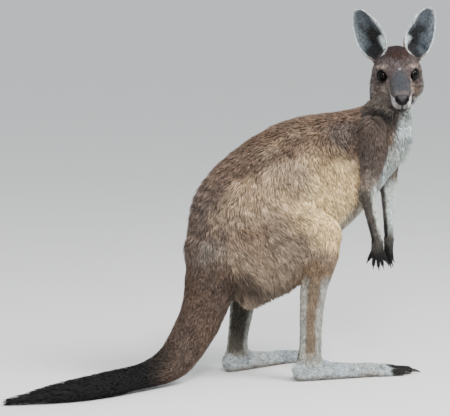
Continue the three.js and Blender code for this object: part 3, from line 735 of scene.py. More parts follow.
def head_distance(points):
    result = joined([neck_stub] + head_forms, points)
    places = (points - HEAD_PLACE) @ head_axes.T
    forward, sideways, up = places.T
    aside = np.abs(sideways)
    mirrored = np.stack([forward, aside, up], 1)
    for eye, gaze in zip(eyes, gazes):  # lids
        near = np.linalg.norm(points - eye, axis=1) < 40
        if not near.any():
            continue
        gap, far = lid_gap(points[near], eye, gaze)
        fold = 0.9 * np.exp(-((gap - 1.42) / 0.09) ** 2) + 0.5 * np.exp(-((gap - 1.75) / 0.1) ** 2)
        solid = result[near] + fold * np.clip((29 - far) / 9, 0, 1)
        solid = lower(solid, far - (EYE_RADIUS + 2.3), 5)
        opening = np.maximum((gap - 1) * 11, EYE_RADIUS - 6 - far)
        solid = -lower(-solid, opening, 1.5)
        result[near] = np.maximum(solid, EYE_RADIUS + 0.25 - far)
    ahead = forward > 30
    if ahead.any():
        m, d = mirrored[ahead], result[ahead]
        d = lower(d, nose.distance(points[ahead]), nose.blend)
        groove = np.maximum(np.abs(m[:, 2] - mouth_height(m[:, 0])) - 0.5, -(d + 4.5))
        d = -lower(-d, np.where(m[:, 0] > 36, groove, 9), 2.2)
        d = -lower(-d, capsule(m, (106, 0, -26), (102, 0, -45), 1.0), 2.5)  # parting of the lip
        d = -lower(-d, capsule(m, (112, 0, -8), (113, 0, -24), 0.5), 2.5)  # crease down the nose
        d = -lower(-d, capsule(m, (111, 6.5, -19), (108, 12.5, -13.5), 2.0), 1.5)  # nostril
        d = -lower(-d, capsule(m, (108, 12.5, -13.5), (101, 18, -14.5), 1.2), 1.5)
        result[ahead] = d
    return result


def stepped(*runs):
    """Lines at a step that changes: pairs of a place and the step up to the next one"""
    lines = [float(runs[0][0])]
    for (start, step), (end, _) in zip(runs, runs[1:]):
        count = max(round((end - start) / step), 1)
        lines += list(start + (end - start) * (np.arange(count) + 1) / count)
    return np.array(lines)


skin_parts.append(mesh_object("skin_head", *surface(head_distance, [
    stepped((-118, 3.2), (-85, 2.2), (-32, 1.35), (120, 0)),
    stepped((-76, 2), (-52, 1.4), (52, 2), (76, 0)),
    stepped((-98, 3), (-72, 1.4), (24, 2.4), (76, 0)),
], head_axes, HEAD_PLACE)))
skin_parts += [mesh_object("skin_ear", *ear.shell()) for ear in ears]

# ---- Skin: hands and feet ----
# Small forms on finer grids: five fingers on each hand, and on each long foot
# the great fourth toe, the fifth, and the joined second and third.
HAND_CELL = 1.9
FOOT_CELL = 3.4
ABOVE_FLOOR = 0.8
SMALL_EDGE = 8
WRIST_OVERLAP = np.array([0, 0, 8])
ANKLE_OVERLAP = np.array([0, 0, 20])
for arm in arms:
    low, high = box_round(arm.hand, SMALL_EDGE)
    skin_parts.append(mesh_object("skin_hand", *surface(
        lambda points: joined([arm.fores[1]] + arm.hand, points),
        even_lines(low, high + WRIST_OVERLAP, HAND_CELL))))
for leg in legs:
    parts = [leg.foot] + leg.toes

    def foot_distance(points):
        return -lower(-joined([leg.shanks[1]] + parts, points), points[:, 2] - ABOVE_FLOOR, 2)
    low, high = box_round(parts, SMALL_EDGE)
    low[2] = -6
    skin_parts.append(mesh_object("skin_foot", *surface(
        foot_distance, even_lines(low, high + ANKLE_OVERLAP, FOOT_CELL))))

# ---- Skin: joined and marked ----
# One closed hide of short dense underfur over the flesh, with bare black leather on
# the nose and lids. Body, head, ears, hands and feet are joined into it, and it has
# the same markings and painted shade as the coat, which are laid over one another here.
skin = skin_parts[0]
for part in skin_parts[1:]:
    union = skin.modifiers.new("join", "BOOLEAN")
    union.operation = "UNION"
    union.solver = "MANIFOLD"
    union.object = part
    bpy.context.view_layer.update()
    whole = bpy.data.meshes.new_from_object(skin.evaluated_get(bpy.context.evaluated_depsgraph_get()))
    skin.modifiers.clear()
    skin.data = whole
    bpy.data.objects.remove(part)
skin.name = skin.data.name = "skin"
skin.data.materials.clear()

# The lengths of flesh that the skin stands for
flesh = ["trunk", "neck", "head", "tail_1", "tail_2", "tail_3", "tail_4"]
for word in ("right", "left"):
    flesh += [f"{part}_{word}" for part in ("ear", "upper_arm", "forearm", "hand", "thigh", "shank", "foot")]


def smooth(value, low, high):
    """0 below low, 1 above high, and eased between them; low may be the greater"""
    t = np.clip((value - low) / (high - low), 0, 1)
    return t * t * (3 - 2 * t)


def shade(red, green, blue):
    """A screen colour, as the linear colour that light works with"""
    screen = np.array([red, green, blue]) / 255
    return np.where(screen < 0.04045, screen / 12.92, ((screen + 0.055) / 1.055) ** 2.4)


def ripple(points, size, seed):
    """Soft unevenness between -1 and 1, in patches of about one size"""
    random = np.random.default_rng(seed)
    total = np.zeros(len(points))
    for _ in range(6):
        way = unit(random.normal(size=3)) * random.uniform(0.7, 1.6) * 2 * np.pi / (2.2 * size)
        total += np.sin(points @ way + random.uniform(0, 6.28))
    return np.clip(total / 3, -1, 1)


# The colours of the markings, and of the painted shade
BACK = shade(115, 93, 77)
FLANK = shade(250, 220, 166)
MIDDLE_FLANK = shade(190, 165, 135)
SHOULDER = shade(100, 88, 82)
RUMP = shade(110, 95, 86)
THIGH = shade(150, 130, 110)
THIGH_GREY = shade(150, 141, 132)
# painted shade, laid under the thigh and in the fold of the flank
PAINTED_SHADE = shade(60, 48, 38)
KNEE = shade(118, 96, 70)
BELLY = shade(206, 198, 182)
CHEST = shade(196, 207, 205)
# painted shade beneath the head, over the throat and under the jaw
THROAT_SHADE = shade(37, 33, 30)
# painted shade in creases: behind the arms, where the ears meet the head, and on the jaw below the mouth
CREASE_SHADE = shade(30, 24, 23)
TAIL = shade(92, 75, 64)
TAIL_END = shade(9, 8, 9)
SHIN = shade(180, 180, 172)
SHIN_STRIPE = shade(122, 101, 78)
# painted shade on the inner side of each shank
INNER_SHIN_SHADE = shade(84, 79, 71)
FOOT = shade(186, 194, 196)
TOE = shade(36, 32, 31)
ARM = shade(93, 80, 73)
ELBOW = shade(160, 146, 132)
FOREARM = shade(98, 93, 88)
FOREARM_FRONT = shade(222, 230, 222)
HAND = shade(24, 22, 22)
HAND_BACK = shade(88, 84, 78)
FACE = shade(86, 74, 71)
CHEEK = shade(112, 100, 93)
CHEEK_RIM = shade(104, 95, 88)
CHEEK_TAN = shade(102, 82, 66)
BRIDGE = shade(64, 66, 71)
BRIDGE_EDGE = shade(46, 39, 38)
STREAK = shade(164, 148, 138)
BROW = shade(156, 139, 126)
POLL = shade(46, 18, 10)
LIP = shade(226, 224, 220)
CHIN = shade(138, 134, 132)
NOSE = shade(14, 13, 14)
NOSE_TOP = shade(108, 99, 97)
NOSE_PAD = shade(50, 47, 48)
EAR_BACK = shade(118, 104, 96)
EAR_INSIDE = shade(68, 76, 82)
EAR_PALE = shade(102, 110, 116)
# painted shade deep in the ear's cup
EAR_HOLLOW_SHADE = shade(14, 14, 17)
EAR_RIM = shade(200, 208, 210)
WHITE = shade(236, 236, 234)
EAR_WHITE = shade(226, 240, 246)
LID = shade(9, 8, 8)

BALD = 6  # where the space between tufts is wider than this, there are none
ARMS_PART = -60  # the right arm is to the right of this
# The chest's pale front at rising heights: its middle, and how far round its edge is
CHEST_LEVEL = [430, 500, 547, 595, 618, 641, 667, 690, 712]
CHEST_MIDDLE = [-10, -20, -27, -34, -38, -41, -45, -50, -50]
CHEST_EDGE = [281, 276, 282, 294, 302, 315, 324, 342, 354]

# Patches on both sides of the body, the last three painted shade: colour, strength, place forward
# and up, reach along and over, and the turn of its length from level, in degrees
SIDE_PATCHES = [
    (MIDDLE_FLANK, 0.85, -30, 500, 190, 105, 30),
    (FLANK, 0.95, 128, 465, 84, 118, 0),
    (FLANK, 0.8, 50, 440, 80, 70, 0),
    (FLANK, 0.95, 100, 385, 70, 62, 0),
    (SHOULDER, 0.85, 178, 628, 56, 48, 20),
    (THIGH_GREY, 0.55, -190, 320, 55, 60, 0),
    (KNEE, 0.95, 60, 266, 60, 62, 0),
    # painted shade under and behind the thigh
    (PAINTED_SHADE, 0.8, -128, 258, 62, 34, -25),
    (PAINTED_SHADE, 0.5, -90, 232, 120, 30, -4),
    (PAINTED_SHADE, 0.45, -45, 362, 44, 8, 16),  # painted shade in the fold of the flank
]
all_forms = body_forms[:]
for arm in arms:
    all_forms += arm.hand
for leg in legs:
    all_forms += [leg.foot] + leg.toes
HEAD_FORMS_FROM = len(all_forms)
all_forms += head_forms + [nose]
form_names = np.array([form.name for form in all_forms] + [ear.name for ear in ears])


def describe(points, normals):
    """What the coat is like at each point of the skin: the nearest form, how it
    lies, the numbers of its hair, and its colour"""
    count = len(points)
    gaps = np.full((len(all_forms), count), FAR)
    ways = np.zeros((len(all_forms), count, 3))
    for i, form in enumerate(all_forms):
        near = np.flatnonzero(np.all((points > form.low - 25) & (points < form.high + 25), axis=1))
        if len(near):
            gaps[i, near] = form.distance(points[near])
            ways[i, near] = unit(form.lie(points[near]))
    least = gaps.min(0)
    gaps[HEAD_FORMS_FROM:] -= 5  # the face's hair runs a little way on to the neck
    weights = np.exp(-(gaps - gaps.min(0)) / 6)
    weights /= weights.sum(0)
    way = np.einsum("ij,ijk->jk", weights, ways)
    numbers = weights.T @ np.array([form.hair.numbers for form in all_forms])
    nearest = gaps.argmin(0)
    for i, ear in enumerate(ears):
        near = np.flatnonzero(np.all((points > ear.low) & (points < ear.high), axis=1) & (least > 1.2))
        height, _, over = ear.local(points[near])
        near = near[(np.abs(over) < 8) & (height > -0.05)]
        nearest[near] = len(all_forms) + i
        way[near] = ear.lie(points[near])
        numbers[near] = ear.hair.numbers
    way -= dots(way, normals)[:, None] * normals
    flat = np.linalg.norm(way, axis=1) < 0.15
    down = np.array([0, 0, -1]) + normals[:, 2:] * normals
    way[flat] += down[flat]
    tint, numbers = mark(points, normals, form_names[nearest], numbers)
    return nearest, unit(way), numbers, tint


def mark(points, normals, names, numbers):
    """The coat's markings and painted shade, laid over one another, and where its hair is longer or bare"""
    x, y, z = points.T
    tint = np.repeat(BACK[None], len(points), 0)
    numbers = numbers.copy()

    def lay(colour, amount):
        tint[:] += (colour - tint) * np.clip(amount, 0, 1)[:, None]

    def on(*starts):
        return np.any([np.char.startswith(names, start) for start in starts], axis=0)
    soft = ripple(points, 40, 3)
    fine = ripple(points, 16, 4)
    uneven = 0.12 * soft + 0.08 * fine
    core, thigh, shank, tail_form = on("trunk"), on("thigh"), on("shank"), on("tail")
    # height up the trunk's side, 1 on the back and -1 on the belly
    level = np.zeros(len(points))
    station = np.zeros(len(points))
    if core.any():
        along, offsets, radii, _ = trunk.local(points[core])
        level[core] = offsets[:, 1] / radii[:, 1]
        station[core] = along
    knee = shank * smooth(z, 235, 300)
    lay(RUMP, tail_form)
    sides = np.maximum(core | thigh | tail_form & (z > 240), knee) * smooth(np.abs(y), 15, 60)
    lay(THIGH, sides * smooth(z + 60 * uneven, 420, 345))
    lay(RUMP, core * smooth(station, 0.36, 0.08))
    for colour, strength, place_x, place_z, long, tall, turn in SIDE_PATCHES:
        turn = math.radians(turn)
        along = (x - place_x) * math.cos(turn) + (z - place_z) * math.sin(turn)
        over = (z - place_z) * math.cos(turn) - (x - place_x) * math.sin(turn)
        near = np.hypot(along / long, over / tall) + 0.14 * soft + 0.1 * fine
        below_back = 1 - core * smooth(level + uneven, 0.62, 0.9)
        lay(colour, sides * below_back * smooth(near, 1.2, 0.35) * strength)
    lay(BELLY, core * smooth(level + uneven, -0.55, -0.92) * smooth(station, 0.1, 0.3))
    lay(BELLY, thigh * smooth(np.abs(y), 70, 40) * smooth(x, -60, 20) * 0.8)
    # painted shade in the crease between each upper arm and the chest
    by_arm = core | on("neck", "upper_arm")
    for arm in arms:
        reach = np.linalg.norm(points - (arm.shoulder + arm.elbow) / 2, axis=1)
        near = np.flatnonzero(by_arm & (reach < 150))
        apart = np.zeros(len(points))
        gap = np.abs(arm.upper.distance(points[near]) - joined([trunk, neck], points[near]))
        apart[near] = smooth(gap, 10, 2)
        share = (arm.shoulder[2] - z) / (arm.shoulder[2] - arm.elbow[2])
        behind = arm.shoulder[0] + (arm.elbow[0] - arm.shoulder[0]) * share - x
        lay(CREASE_SHADE, apart * smooth(z, 690, 645) * smooth(behind, 0, 12))
    # painted shade on the throat beneath the head, and the pale chest, up the front of the neck: further
    # round to the front the higher they are; the chest fades a little near the top into the painted shade
    lay(ARM, on("neck") * 0.9)
    chest_middle, chest_edge = (np.interp(z, CHEST_LEVEL, row) for row in (CHEST_MIDDLE, CHEST_EDGE))
    round_front = 0.883 * x + 0.469 * np.abs(y - chest_middle) + 25 * uneven
    lay(THROAT_SHADE, on("neck") * smooth(round_front, chest_edge - 110, chest_edge - 60) * smooth(z, 620, 665))
    below_cheek = z - 692 + 0.42 * (round_front - 234)
    lay(CHEEK_RIM, on("neck") * smooth(below_cheek, -6, 10))
    lay(CHEST, by_arm * smooth(round_front, chest_edge - 10, chest_edge + 12) * smooth(z, 440, 490)
        * smooth(normals[:, 0], -0.3, 0.1) * (1 - 0.25 * smooth(z, 630, 660)))
    elbow_reach = np.linalg.norm(points - (arms[1].elbow + np.array([0, 0, 50])), axis=1)
    lay(ELBOW, by_arm * smooth(elbow_reach + 60 * uneven, 62, 40) * 0.85)
    lay(TAIL, tail_form * smooth(z + 60 * uneven, 350, 270))
    lay(TAIL_END, tail_form * smooth(x + 40 * uneven, -258, -400))
    lay(TAIL_END, tail_form * smooth(normals[:, 2] + uneven, 0.2, 0.9) * smooth(x, -220, -330) * 0.6)
    for leg in legs:
        mine = shank & (y * leg.side > 0)
        outer = normals @ left_of(0) * leg.side
        fore = normals @ (left_of(0) * leg.side * 0.469 + left_of(-90) * 0.883)
        lay(SHIN, mine * smooth(z + 60 * uneven, 285, 235))
        lay(SHIN_STRIPE, mine * smooth(np.abs(fore - 0.12 + 0.7 * uneven), 0.5, 0.24) * smooth(outer, 0, 0.3)
            * smooth(z, 45, 85) * smooth(z, 320, 260) * 0.9)
        # painted shade down the inner, rear side of each shank
        inner = normals @ (left_of(0) * -leg.side * 0.469 + left_of(-90) * 0.883)
        lay(INNER_SHIN_SHADE, mine * smooth(outer + 0.3 * uneven, 0.05, -0.3) * smooth(inner, 0.9, 0.55)
            * smooth(inner, -0.95, -0.7) * smooth(z, 20, 70))
    paw = on("foot", "toe")
    lay(FOOT, paw)
    for leg in legs:
        mine = paw & (y * leg.side > 0)
        forward = (points - leg.ankle) @ leg.front
        lay(SHIN_STRIPE, mine * smooth(normals[:, 2] + uneven, -0.2, -0.8) * 0.6)
        lay(TOE, mine * smooth(forward + 24 * fine, 205, 240))
    upper, fore_arm = on("upper_arm"), on("forearm")
    arm_front = normals @ heading(-45)
    lay(ARM, upper)
    lay(ELBOW, upper * smooth(z + 40 * uneven, 540, 490) * 0.7)
    for arm in arms:
        mine = (upper | fore_arm) & (y < ARMS_PART if arm is arms[0] else y >= ARMS_PART)
        lay(FOREARM, mine * fore_arm)
        edge = smooth(arm_front + uneven, *((0.5, 0.9) if arm is arms[0] else (-0.5, 0.1)))
        lay(FOREARM_FRONT, mine * edge * smooth(z, 510, 470))
    lay(HAND_BACK, fore_arm * smooth(z + 50 * uneven, 385, 345) * 0.8)
    lay(HAND, fore_arm * smooth(arm_front + 2 * uneven, 0.1, -0.5) * smooth(z, 430, 350))
    lay(HAND_BACK, on("hand"))
    lay(HAND, on("hand") * smooth(z + 60 * uneven, 338, 306))
    mark_head(points, normals, names, numbers, lay, on)
    numbers[:, LENGTH] *= 1 + 0.2 * core * smooth(level, -0.55, -0.95)  # longer under the belly
    shaggy = shank * smooth(z, 230, 320)
    numbers += shaggy[:, None] * (KNEE_HAIR.numbers - numbers)
    return tint, numbers


def mark_head(points, normals, names, numbers, lay, on):
    """The markings and painted shade of the face and ears, and the lids, lips and nose left bare of tufts"""
    forward, sideways, up = ((points - HEAD_PLACE) @ head_axes.T).T
    aside = np.abs(sideways)
    head = on("crown", "muzzle", "jaw", "cheek", "brow", "lip", "nose")
    fine = ripple(points, 9, 7)
    # how far down the face, as seen from straight in front of it
    down = 0.47 * forward - 0.88 * up
    facing = normals @ (0.88 * head_forward + 0.47 * head_up)
    face = head * smooth(facing, 0.0, 0.3)

    def spot(place_aside, place_down, wide, tall):
        """A soft oval on each side of the face"""
        near = np.hypot((aside - place_aside) / wide, (down - place_down) / tall) + 0.12 * fine
        return smooth(near, 1.5, 0.5)
    lay(FACE, head)
    lay(CHEEK, head * smooth(down + 4 * fine, 12, 34) * smooth(aside, 14, 26))
    lay(POLL, (head | on("neck")) * smooth(aside + 5 * fine, 42, 20) * smooth(down + 6 * fine, -27, -46)
        * smooth(up, 4, 18))
    # painted shade where each ear meets the head
    lay(CREASE_SHADE, head * smooth(np.hypot(aside - 44, down + 50) + 3 * fine, 17, 8) * 0.7)
    # painted shade under the jaw
    lay(THROAT_SHADE, head * smooth(up + 4 * fine, -58, -76) * smooth(forward, 40, 10) * 0.8)
    lay(CHIN, head * smooth(aside + 5 * fine, 54, 66) * smooth(down, -30, 10) * 0.75)
    lay(CHEST, head * smooth(sideways + 5 * fine, 30, 48) * smooth(up, -58, -72))
    lay(BROW, face * spot(40, -19, 12, 4.5) * 0.85)
    tan = spot(46, 36, 10, 13) * smooth(sideways, -30, 20) + 0.4 * spot(42, 36, 13, 11)
    lay(CHEEK_TAN, face * tan * 0.45)
    lay(BRIDGE_EDGE, face * spot(38, 21, 12, 4.5) * 0.8)
    wide = np.interp(down, [-12, 0, 22, 46, 60], [9, 14, 22, 20, 17])
    lay(STREAK, face * smooth(np.abs(aside - wide - 11 - fine), 9, 2) * smooth(down, 8, 18)
        * smooth(down, 58, 44) * 0.4)
    lay(BRIDGE_EDGE, face * smooth(np.abs(aside - wide - 1.5), 4, 1.5) * smooth(down, 6, 16)
        * smooth(down, 64, 52) * 0.75)
    lay(BRIDGE, face * smooth(aside + 3 * fine - wide, 7, -8) * smooth(down + 3 * fine, -17, 4)
        * (forward < 100))
    lay(NOSE_TOP, face * smooth(np.abs(down - 47), 9, 2) * smooth(aside, 20, 12) * 0.85)
    lay(WHITE, face * smooth(np.hypot(sideways - 1, down + 12), 3.4, 1.0) * 0.75)
    low_muzzle = head * smooth(forward, 66, 82) * smooth(down + fine, 47, 56)
    lay(LIP, low_muzzle * smooth(aside, 10, 15) * smooth(up + 2 * fine, -12, -18))
    lay(CHIN, low_muzzle * smooth(aside, 17, 11) * smooth(up + fine, -24, -30))
    lay(CHIN, low_muzzle * smooth(sideways, -8, -16) * smooth(up, -12, -18) * 0.7)
    # painted shade on the jaw's front below the mouth line
    lay(CREASE_SHADE, head * smooth(forward, 50, 64) * smooth(up - mouth_height(forward), 8.5, 5.5) * 0.95)
    mouth = np.abs(up - mouth_height(forward))
    line = head * smooth(mouth, 3.6, 1.6) * smooth(forward, 34, 46)
    lay(NOSE, line)
    lay(NOSE, head * smooth(aside, 3.6, 1.0) * smooth(np.abs(up + 34), 11, 7) * (forward > 80) * 0.8)
    pad = np.hypot(aside / 18, (up + 15) / 13)
    bare = head * smooth(forward, 93, 98) * smooth(pad, 1.1, 0.92)
    lay(NOSE_PAD, bare)
    # the dark nostrils slant in and down to meet in the middle
    inward = np.clip(0.66 * (16 - aside) - 0.75 * (up + 9), 0, 21)
    lay(NOSE, bare * smooth(np.hypot(aside - 16 + 0.66 * inward, up + 9 + 0.75 * inward), 7.5, 4.0))
    numbers[:, LENGTH] *= 1 - 0.55 * head * smooth(pad, 1.7, 1.1) * (forward > 84)
    numbers[:, LENGTH] *= 1 + 0.7 * head * smooth(aside, 36, 20) * smooth(down, -40, -56)
    numbers[:, GATHER] *= 1 - 0.9 * head * smooth(forward, 0, 30)
    cover = 1 - bare
    cover *= 1 - line * smooth(mouth, 1.6, 0.8)
    for eye, gaze in zip(eyes, gazes):
        near = np.linalg.norm(points - eye, axis=1) < 45
        gap, far = lid_gap(points[near], eye, gaze)
        rim = np.zeros(len(points))
        rim[near] = smooth(gap, 1.36, 1.24) * (far < EYE_RADIUS + 6)
        lay(LID, head * rim)
        cover *= 1 - head * rim
        close = np.zeros(len(points))
        close[near] = smooth(gap, 1.9, 1.25) * smooth(far, 30, 20)
        numbers[:, :GATHER] *= 1 - np.outer(head * close, [0.35, 0.55, 0.3, 0.15])
        lay(LID, head * close ** 4 * 0.35)
    for ear in ears:
        mine = names == ear.name
        if not mine.any():
            continue
        height, turn, over = ear.local(points[mine])
        turn = turn * np.sign(ear.across @ head_left) * ear.side  # 1 at the outer edge
        inner = over < 0
        part = np.zeros(len(points))

        def lay_ear(colour, amount):
            part[mine] = amount
            lay(colour, part)
        curl = 0.1 * ripple(points[mine], 22, 9)
        lay_ear(EAR_BACK, np.ones(len(height)))
        lay_ear(EAR_INSIDE, inner * 1.0)
        lay_ear(EAR_PALE, inner * smooth(turn + curl, 0.3, 0.75))
        # painted shade deep in the cup: down its middle, and low where it rolls into a tube
        dark = (smooth(np.abs(turn + curl + 0.28 - 0.5 * (height - 0.3)), 0.55, 0.2)
                * smooth(height + curl, 0.78, 0.5))
        low = smooth(height + curl + 0.25 * turn, 0.36, 0.24)
        lay_ear(EAR_HOLLOW_SHADE, inner * np.maximum(dark, 0.9 * low))
        lay_ear(EAR_WHITE, inner * smooth(turn + 0.5 * curl, -0.24, -0.5)
                * smooth(np.abs(height - 0.13), 0.24, 0.17))
        lay_ear(EAR_RIM, inner * smooth(turn + 0.5 * curl, -0.68, -0.88) * smooth(height, 0.85, 0.6) * 0.8)
        lay_ear(EAR_RIM, smooth(np.abs(turn), 0.86, 0.96) * smooth(height, 0.02, 0.1))
        lay_ear(EAR_RIM, smooth(height, 0.965, 0.99))
    numbers[:, SPACE] /= np.sqrt(np.maximum(cover, 1e-4))


def vertex_arrays(mesh):
    """Places in the body's frame, and normals"""
    places = np.empty(len(mesh.vertices) * 3, np.float32)
    normals = np.empty(len(mesh.vertices) * 3, np.float32)
    mesh.vertices.foreach_get("co", places)
    mesh.vertex_normals.foreach_get("vector", normals)
    return places.reshape(-1, 3).astype(float) * 1000 + MIDDLE, normals.reshape(-1, 3).astype(float)


def keep(mesh, name, kind, values):
    """A number or colour kept at each vertex, for a material to read"""
    attribute = mesh.attributes.new(name, kind, "POINT")
    attribute.data.foreach_set("color" if kind == "FLOAT_COLOR" else "value",
                               np.ascontiguousarray(values, np.float32).ravel())


def with_alpha(colours):
    return np.hstack([colours, np.ones((len(colours), 1))])


skin_points, skin_normals = vertex_arrays(skin.data)
_, _, skin_numbers, skin_tint = describe(skin_points, skin_normals)
skin.data.shade_smooth()
keep(skin.data, "tint", "FLOAT_COLOR", with_alpha(skin_tint))
keep(skin.data, "bare", "FLOAT", np.clip(skin_numbers[:, SPACE] / BALD - 0.5, 0, 1))


class Value:
    """A number or colour in a material. Sums on it add Math nodes."""

    def __init__(self, finish, socket):
        self.finish, self.socket = finish, socket

    def math(self, operation, first, second):
        return self.finish.node("Math", {"operation": operation}, {0: first, 1: second})

    def __add__(self, other):
        return self.math("ADD", self, other)

    def __sub__(self, other):
        return self.math("SUBTRACT", self, other)

    def __rsub__(self, other):
        return self.math("SUBTRACT", other, self)

    def __mul__(self, other):
        return self.math("MULTIPLY", self, other)

    __radd__ = __add__
    __rmul__ = __mul__


class Finish:
    """A material round one Principled shader; what is the same all over is set on it"""

    def __init__(self, name, **same):
        self.material = bpy.data.materials.new(name)
        self.material.use_nodes = True
        self.tree = self.material.node_tree
        self.shader = self.tree.nodes["Principled BSDF"]
        for key, value in same.items():
            self.shader.inputs[key.replace("_", " ")].default_value = value

    def node(self, kind, settings, inputs, output=0):
        made = self.tree.nodes.new("ShaderNode" + kind)
        for key, value in settings.items():
            if key == "stops":
                elements = made.color_ramp.elements
                while len(elements) < len(value):
                    elements.new(0.5)
                for element, (place, colour) in zip(elements, value):
                    element.position = place
                    element.color = colour
            else:
                setattr(made, key, value)
        for key, value in inputs.items():
            if isinstance(value, Value):
                self.tree.links.new(value.socket, made.inputs[key])
            else:
                made.inputs[key].default_value = value
        return Value(self, made.outputs[output])

    def kept(self, name, output="Fac"):
        return self.node("Attribute", {"attribute_name": name}, {}, output)

    def mixed(self, blend, amount, first, second):
        """Two colours mixed"""
        return self.node("Mix", {"data_type": "RGBA", "blend_type": blend},
                         {"Factor": amount, 6: first, 7: second}, 2)

    def between(self, value, low, high, to_low=0.0, to_high=1.0):
        return self.node("MapRange", {"clamp": True}, {
            "Value": value, "From Min": low, "From Max": high, "To Min": to_low, "To Max": to_high})

    def noise(self, place, scale, detail=2.0):
        return self.node("TexNoise", {}, {"Vector": place, "Scale": scale, "Detail": detail})

    def feed(self, **values):
        for key, value in values.items():
            self.tree.links.new(value.socket, self.shader.inputs[key.replace("_", " ")])
        return self.material


def skin_finish():
    """Short dense underfur, and bare black leather on the nose, lips and lid rims"""
    skin_look = Finish("underfur_and_bare_skin", Specular_IOR_Level=0.1)
    place = skin_look.node("TexCoord", {}, {}, "Object")
    bare = skin_look.kept("bare")
    tufty = skin_look.noise(place, 420.0, 3.0)
    pores = skin_look.node("TexVoronoi", {}, {"Vector": place, "Scale": 900.0}, "Distance")
    rough_fur = skin_look.between(tufty, 0.3, 0.7, 0.45, 0.95)
    dim = rough_fur + bare * (1 - rough_fur)
    grey = skin_look.node("CombineColor", {}, {"Red": dim, "Green": dim, "Blue": dim})
    colour = skin_look.mixed("MULTIPLY", 1.0, skin_look.kept("tint", "Color"), grey)
    height = tufty * (1 - bare) + pores * bare * 0.35
    bump = skin_look.node("Bump", {}, {"Strength": 0.5, "Distance": 0.0006, "Height": height}, "Normal")
    return skin_look.feed(Base_Color=colour, Roughness=0.88 - bare * 0.4, Normal=bump)


skin.data.materials.append(skin_finish())
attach(skin, "root")
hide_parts(*flesh)

# ---- Coat ----
# Solid tufts of hair rooted all over the skin: long and gathered into shaggy
# locks on the back, flanks and rump, short and flat on the face, ears, shanks,
# feet and hands. Each lies the way the hair grows and overlaps those behind it.
random = np.random.default_rng(20)
SPREAD = 1.03  # keeps the whole coat under 150,000 tufts
LEADERS = 0.09  # the share of tufts that others gather towards
CLEAR_MIDDLE, CLEAR_EDGE = 0.6, 0.3  # above the floor


def hair_finish(name, strands, lustre, paling=0.5):
    """Banded hair: dark at the root, coloured, then paler, and here and there a dark tip"""
    look = Finish(name, Specular_IOR_Level=lustre, Sheen_Weight=0.03, Sheen_Roughness=0.5)
    along, across, strand = look.kept("along"), look.kept("across"), look.kept("strand")
    place = look.node("CombineXYZ", {}, {"X": across * strands, "Y": along * 0.9, "Z": strand * 61.0})
    streak = look.noise(place, 1.0, 2.0)
    band = look.node("ValToRGB", {"stops": [
        (0.0, (0.5, 0.48, 0.46, 1)), (0.35, (0.82, 0.81, 0.8, 1)),
        (0.7, (1.0, 1.0, 1.0, 1)), (1.0, (1.0, 1.0, 1.0, 1))]}, {"Fac": along})
    colour = look.mixed("MULTIPLY", 1.0, look.kept("tint", "Color"), band)
    dark = look.between(streak, 0.46, 0.34, 0.0, 0.7) * look.between(along, 0.1, 0.5)
    colour = look.mixed("MULTIPLY", dark, colour, (0.42, 0.38, 0.36, 1))
    pale = look.between(streak, 0.56, 0.72, 0.0, paling) * look.between(along, 0.35, 0.9)
    colour = look.mixed("SCREEN", pale, colour, (0.3, 0.27, 0.22, 1))
    tipped = look.between(strand, 0.8, 0.86) * look.between(along, 0.6, 1.0)
    colour = look.mixed("MULTIPLY", tipped * 0.6, colour, (0.25, 0.22, 0.2, 1))
    bump = look.node("Bump", {}, {"Strength": 0.6, "Distance": 0.0005, "Height": streak}, "Normal")
    return look.feed(Base_Color=colour, Roughness=look.between(streak, 0.3, 0.7, 0.62, 0.82), Normal=bump)


coat_looks = {
    "coat_grey_brown": hair_finish("grey_brown_coat", 2.6, 0.2),
    "coat_pale": hair_finish("pale_leg_coat", 2.2, 0.2),
    "coat_dark": hair_finish("black_coat", 2.2, 0.25, 0.12),
    "coat_ear": hair_finish("ear_hair", 1.8, 0.25),
}

# Roots, spread evenly over the skin by the space that each tuft has
skin.data.calc_loop_triangles()
triangles = np.empty(len(skin.data.loop_triangles) * 3, np.int32)
skin.data.loop_triangles.foreach_get("vertices", triangles)
triangles = triangles.reshape(-1, 3)
corners = skin_points[triangles]
areas = np.linalg.norm(np.cross(corners[:, 1] - corners[:, 0], corners[:, 2] - corners[:, 0]), axis=1) / 2
wanted = np.cumsum(areas / (SPREAD * skin_numbers[:, SPACE][triangles].mean(1)) ** 2)
tries = int(wanted[-1])
picks = np.searchsorted(wanted, (np.arange(tries) + random.random(tries)) * (wanted[-1] / tries))
picks = np.minimum(picks, len(triangles) - 1)
u, v = random.random((2, tries))
u, v = np.where(u + v > 1, [1 - u, 1 - v], [u, v])
share = np.stack([1 - u - v, u, v], 1)
roots = np.einsum("ij,ijk->ik", share, corners[picks])
root_normals = unit(np.einsum("ij,ijk->ik", share, skin_normals[triangles[picks]]))
described = [roots, root_normals, *describe(roots, root_normals)]
haired = described[4][:, SPACE] <= BALD
roots, root_normals, root_form, root_way, root_numbers, root_tint = (values[haired] for values in described)
count = len(roots)
depth, length, width, _, gather = root_numbers.T

# Each tuft's way wanders a little, in patches and by itself
sideways = np.cross(root_normals, root_way)
wander = 0.22 * ripple(roots, 55, 11) + 0.16 * ripple(roots, 18, 12) + 0.12 * random.normal(size=count)
root_way = unit(root_way + wander[:, None] * sideways)
length = length * random.uniform(0.72, 1.25, count)
width = width * random.uniform(0.8, 1.2, count)
lift = depth * (random.uniform(0.7, 1.15, count) + 0.12 * ripple(roots, 24, 13))
tips = roots + root_way * length[:, None] + root_normals * lift[:, None]
middles = roots + root_way * (0.45 * length)[:, None] + root_normals * (0.74 * lift)[:, None]

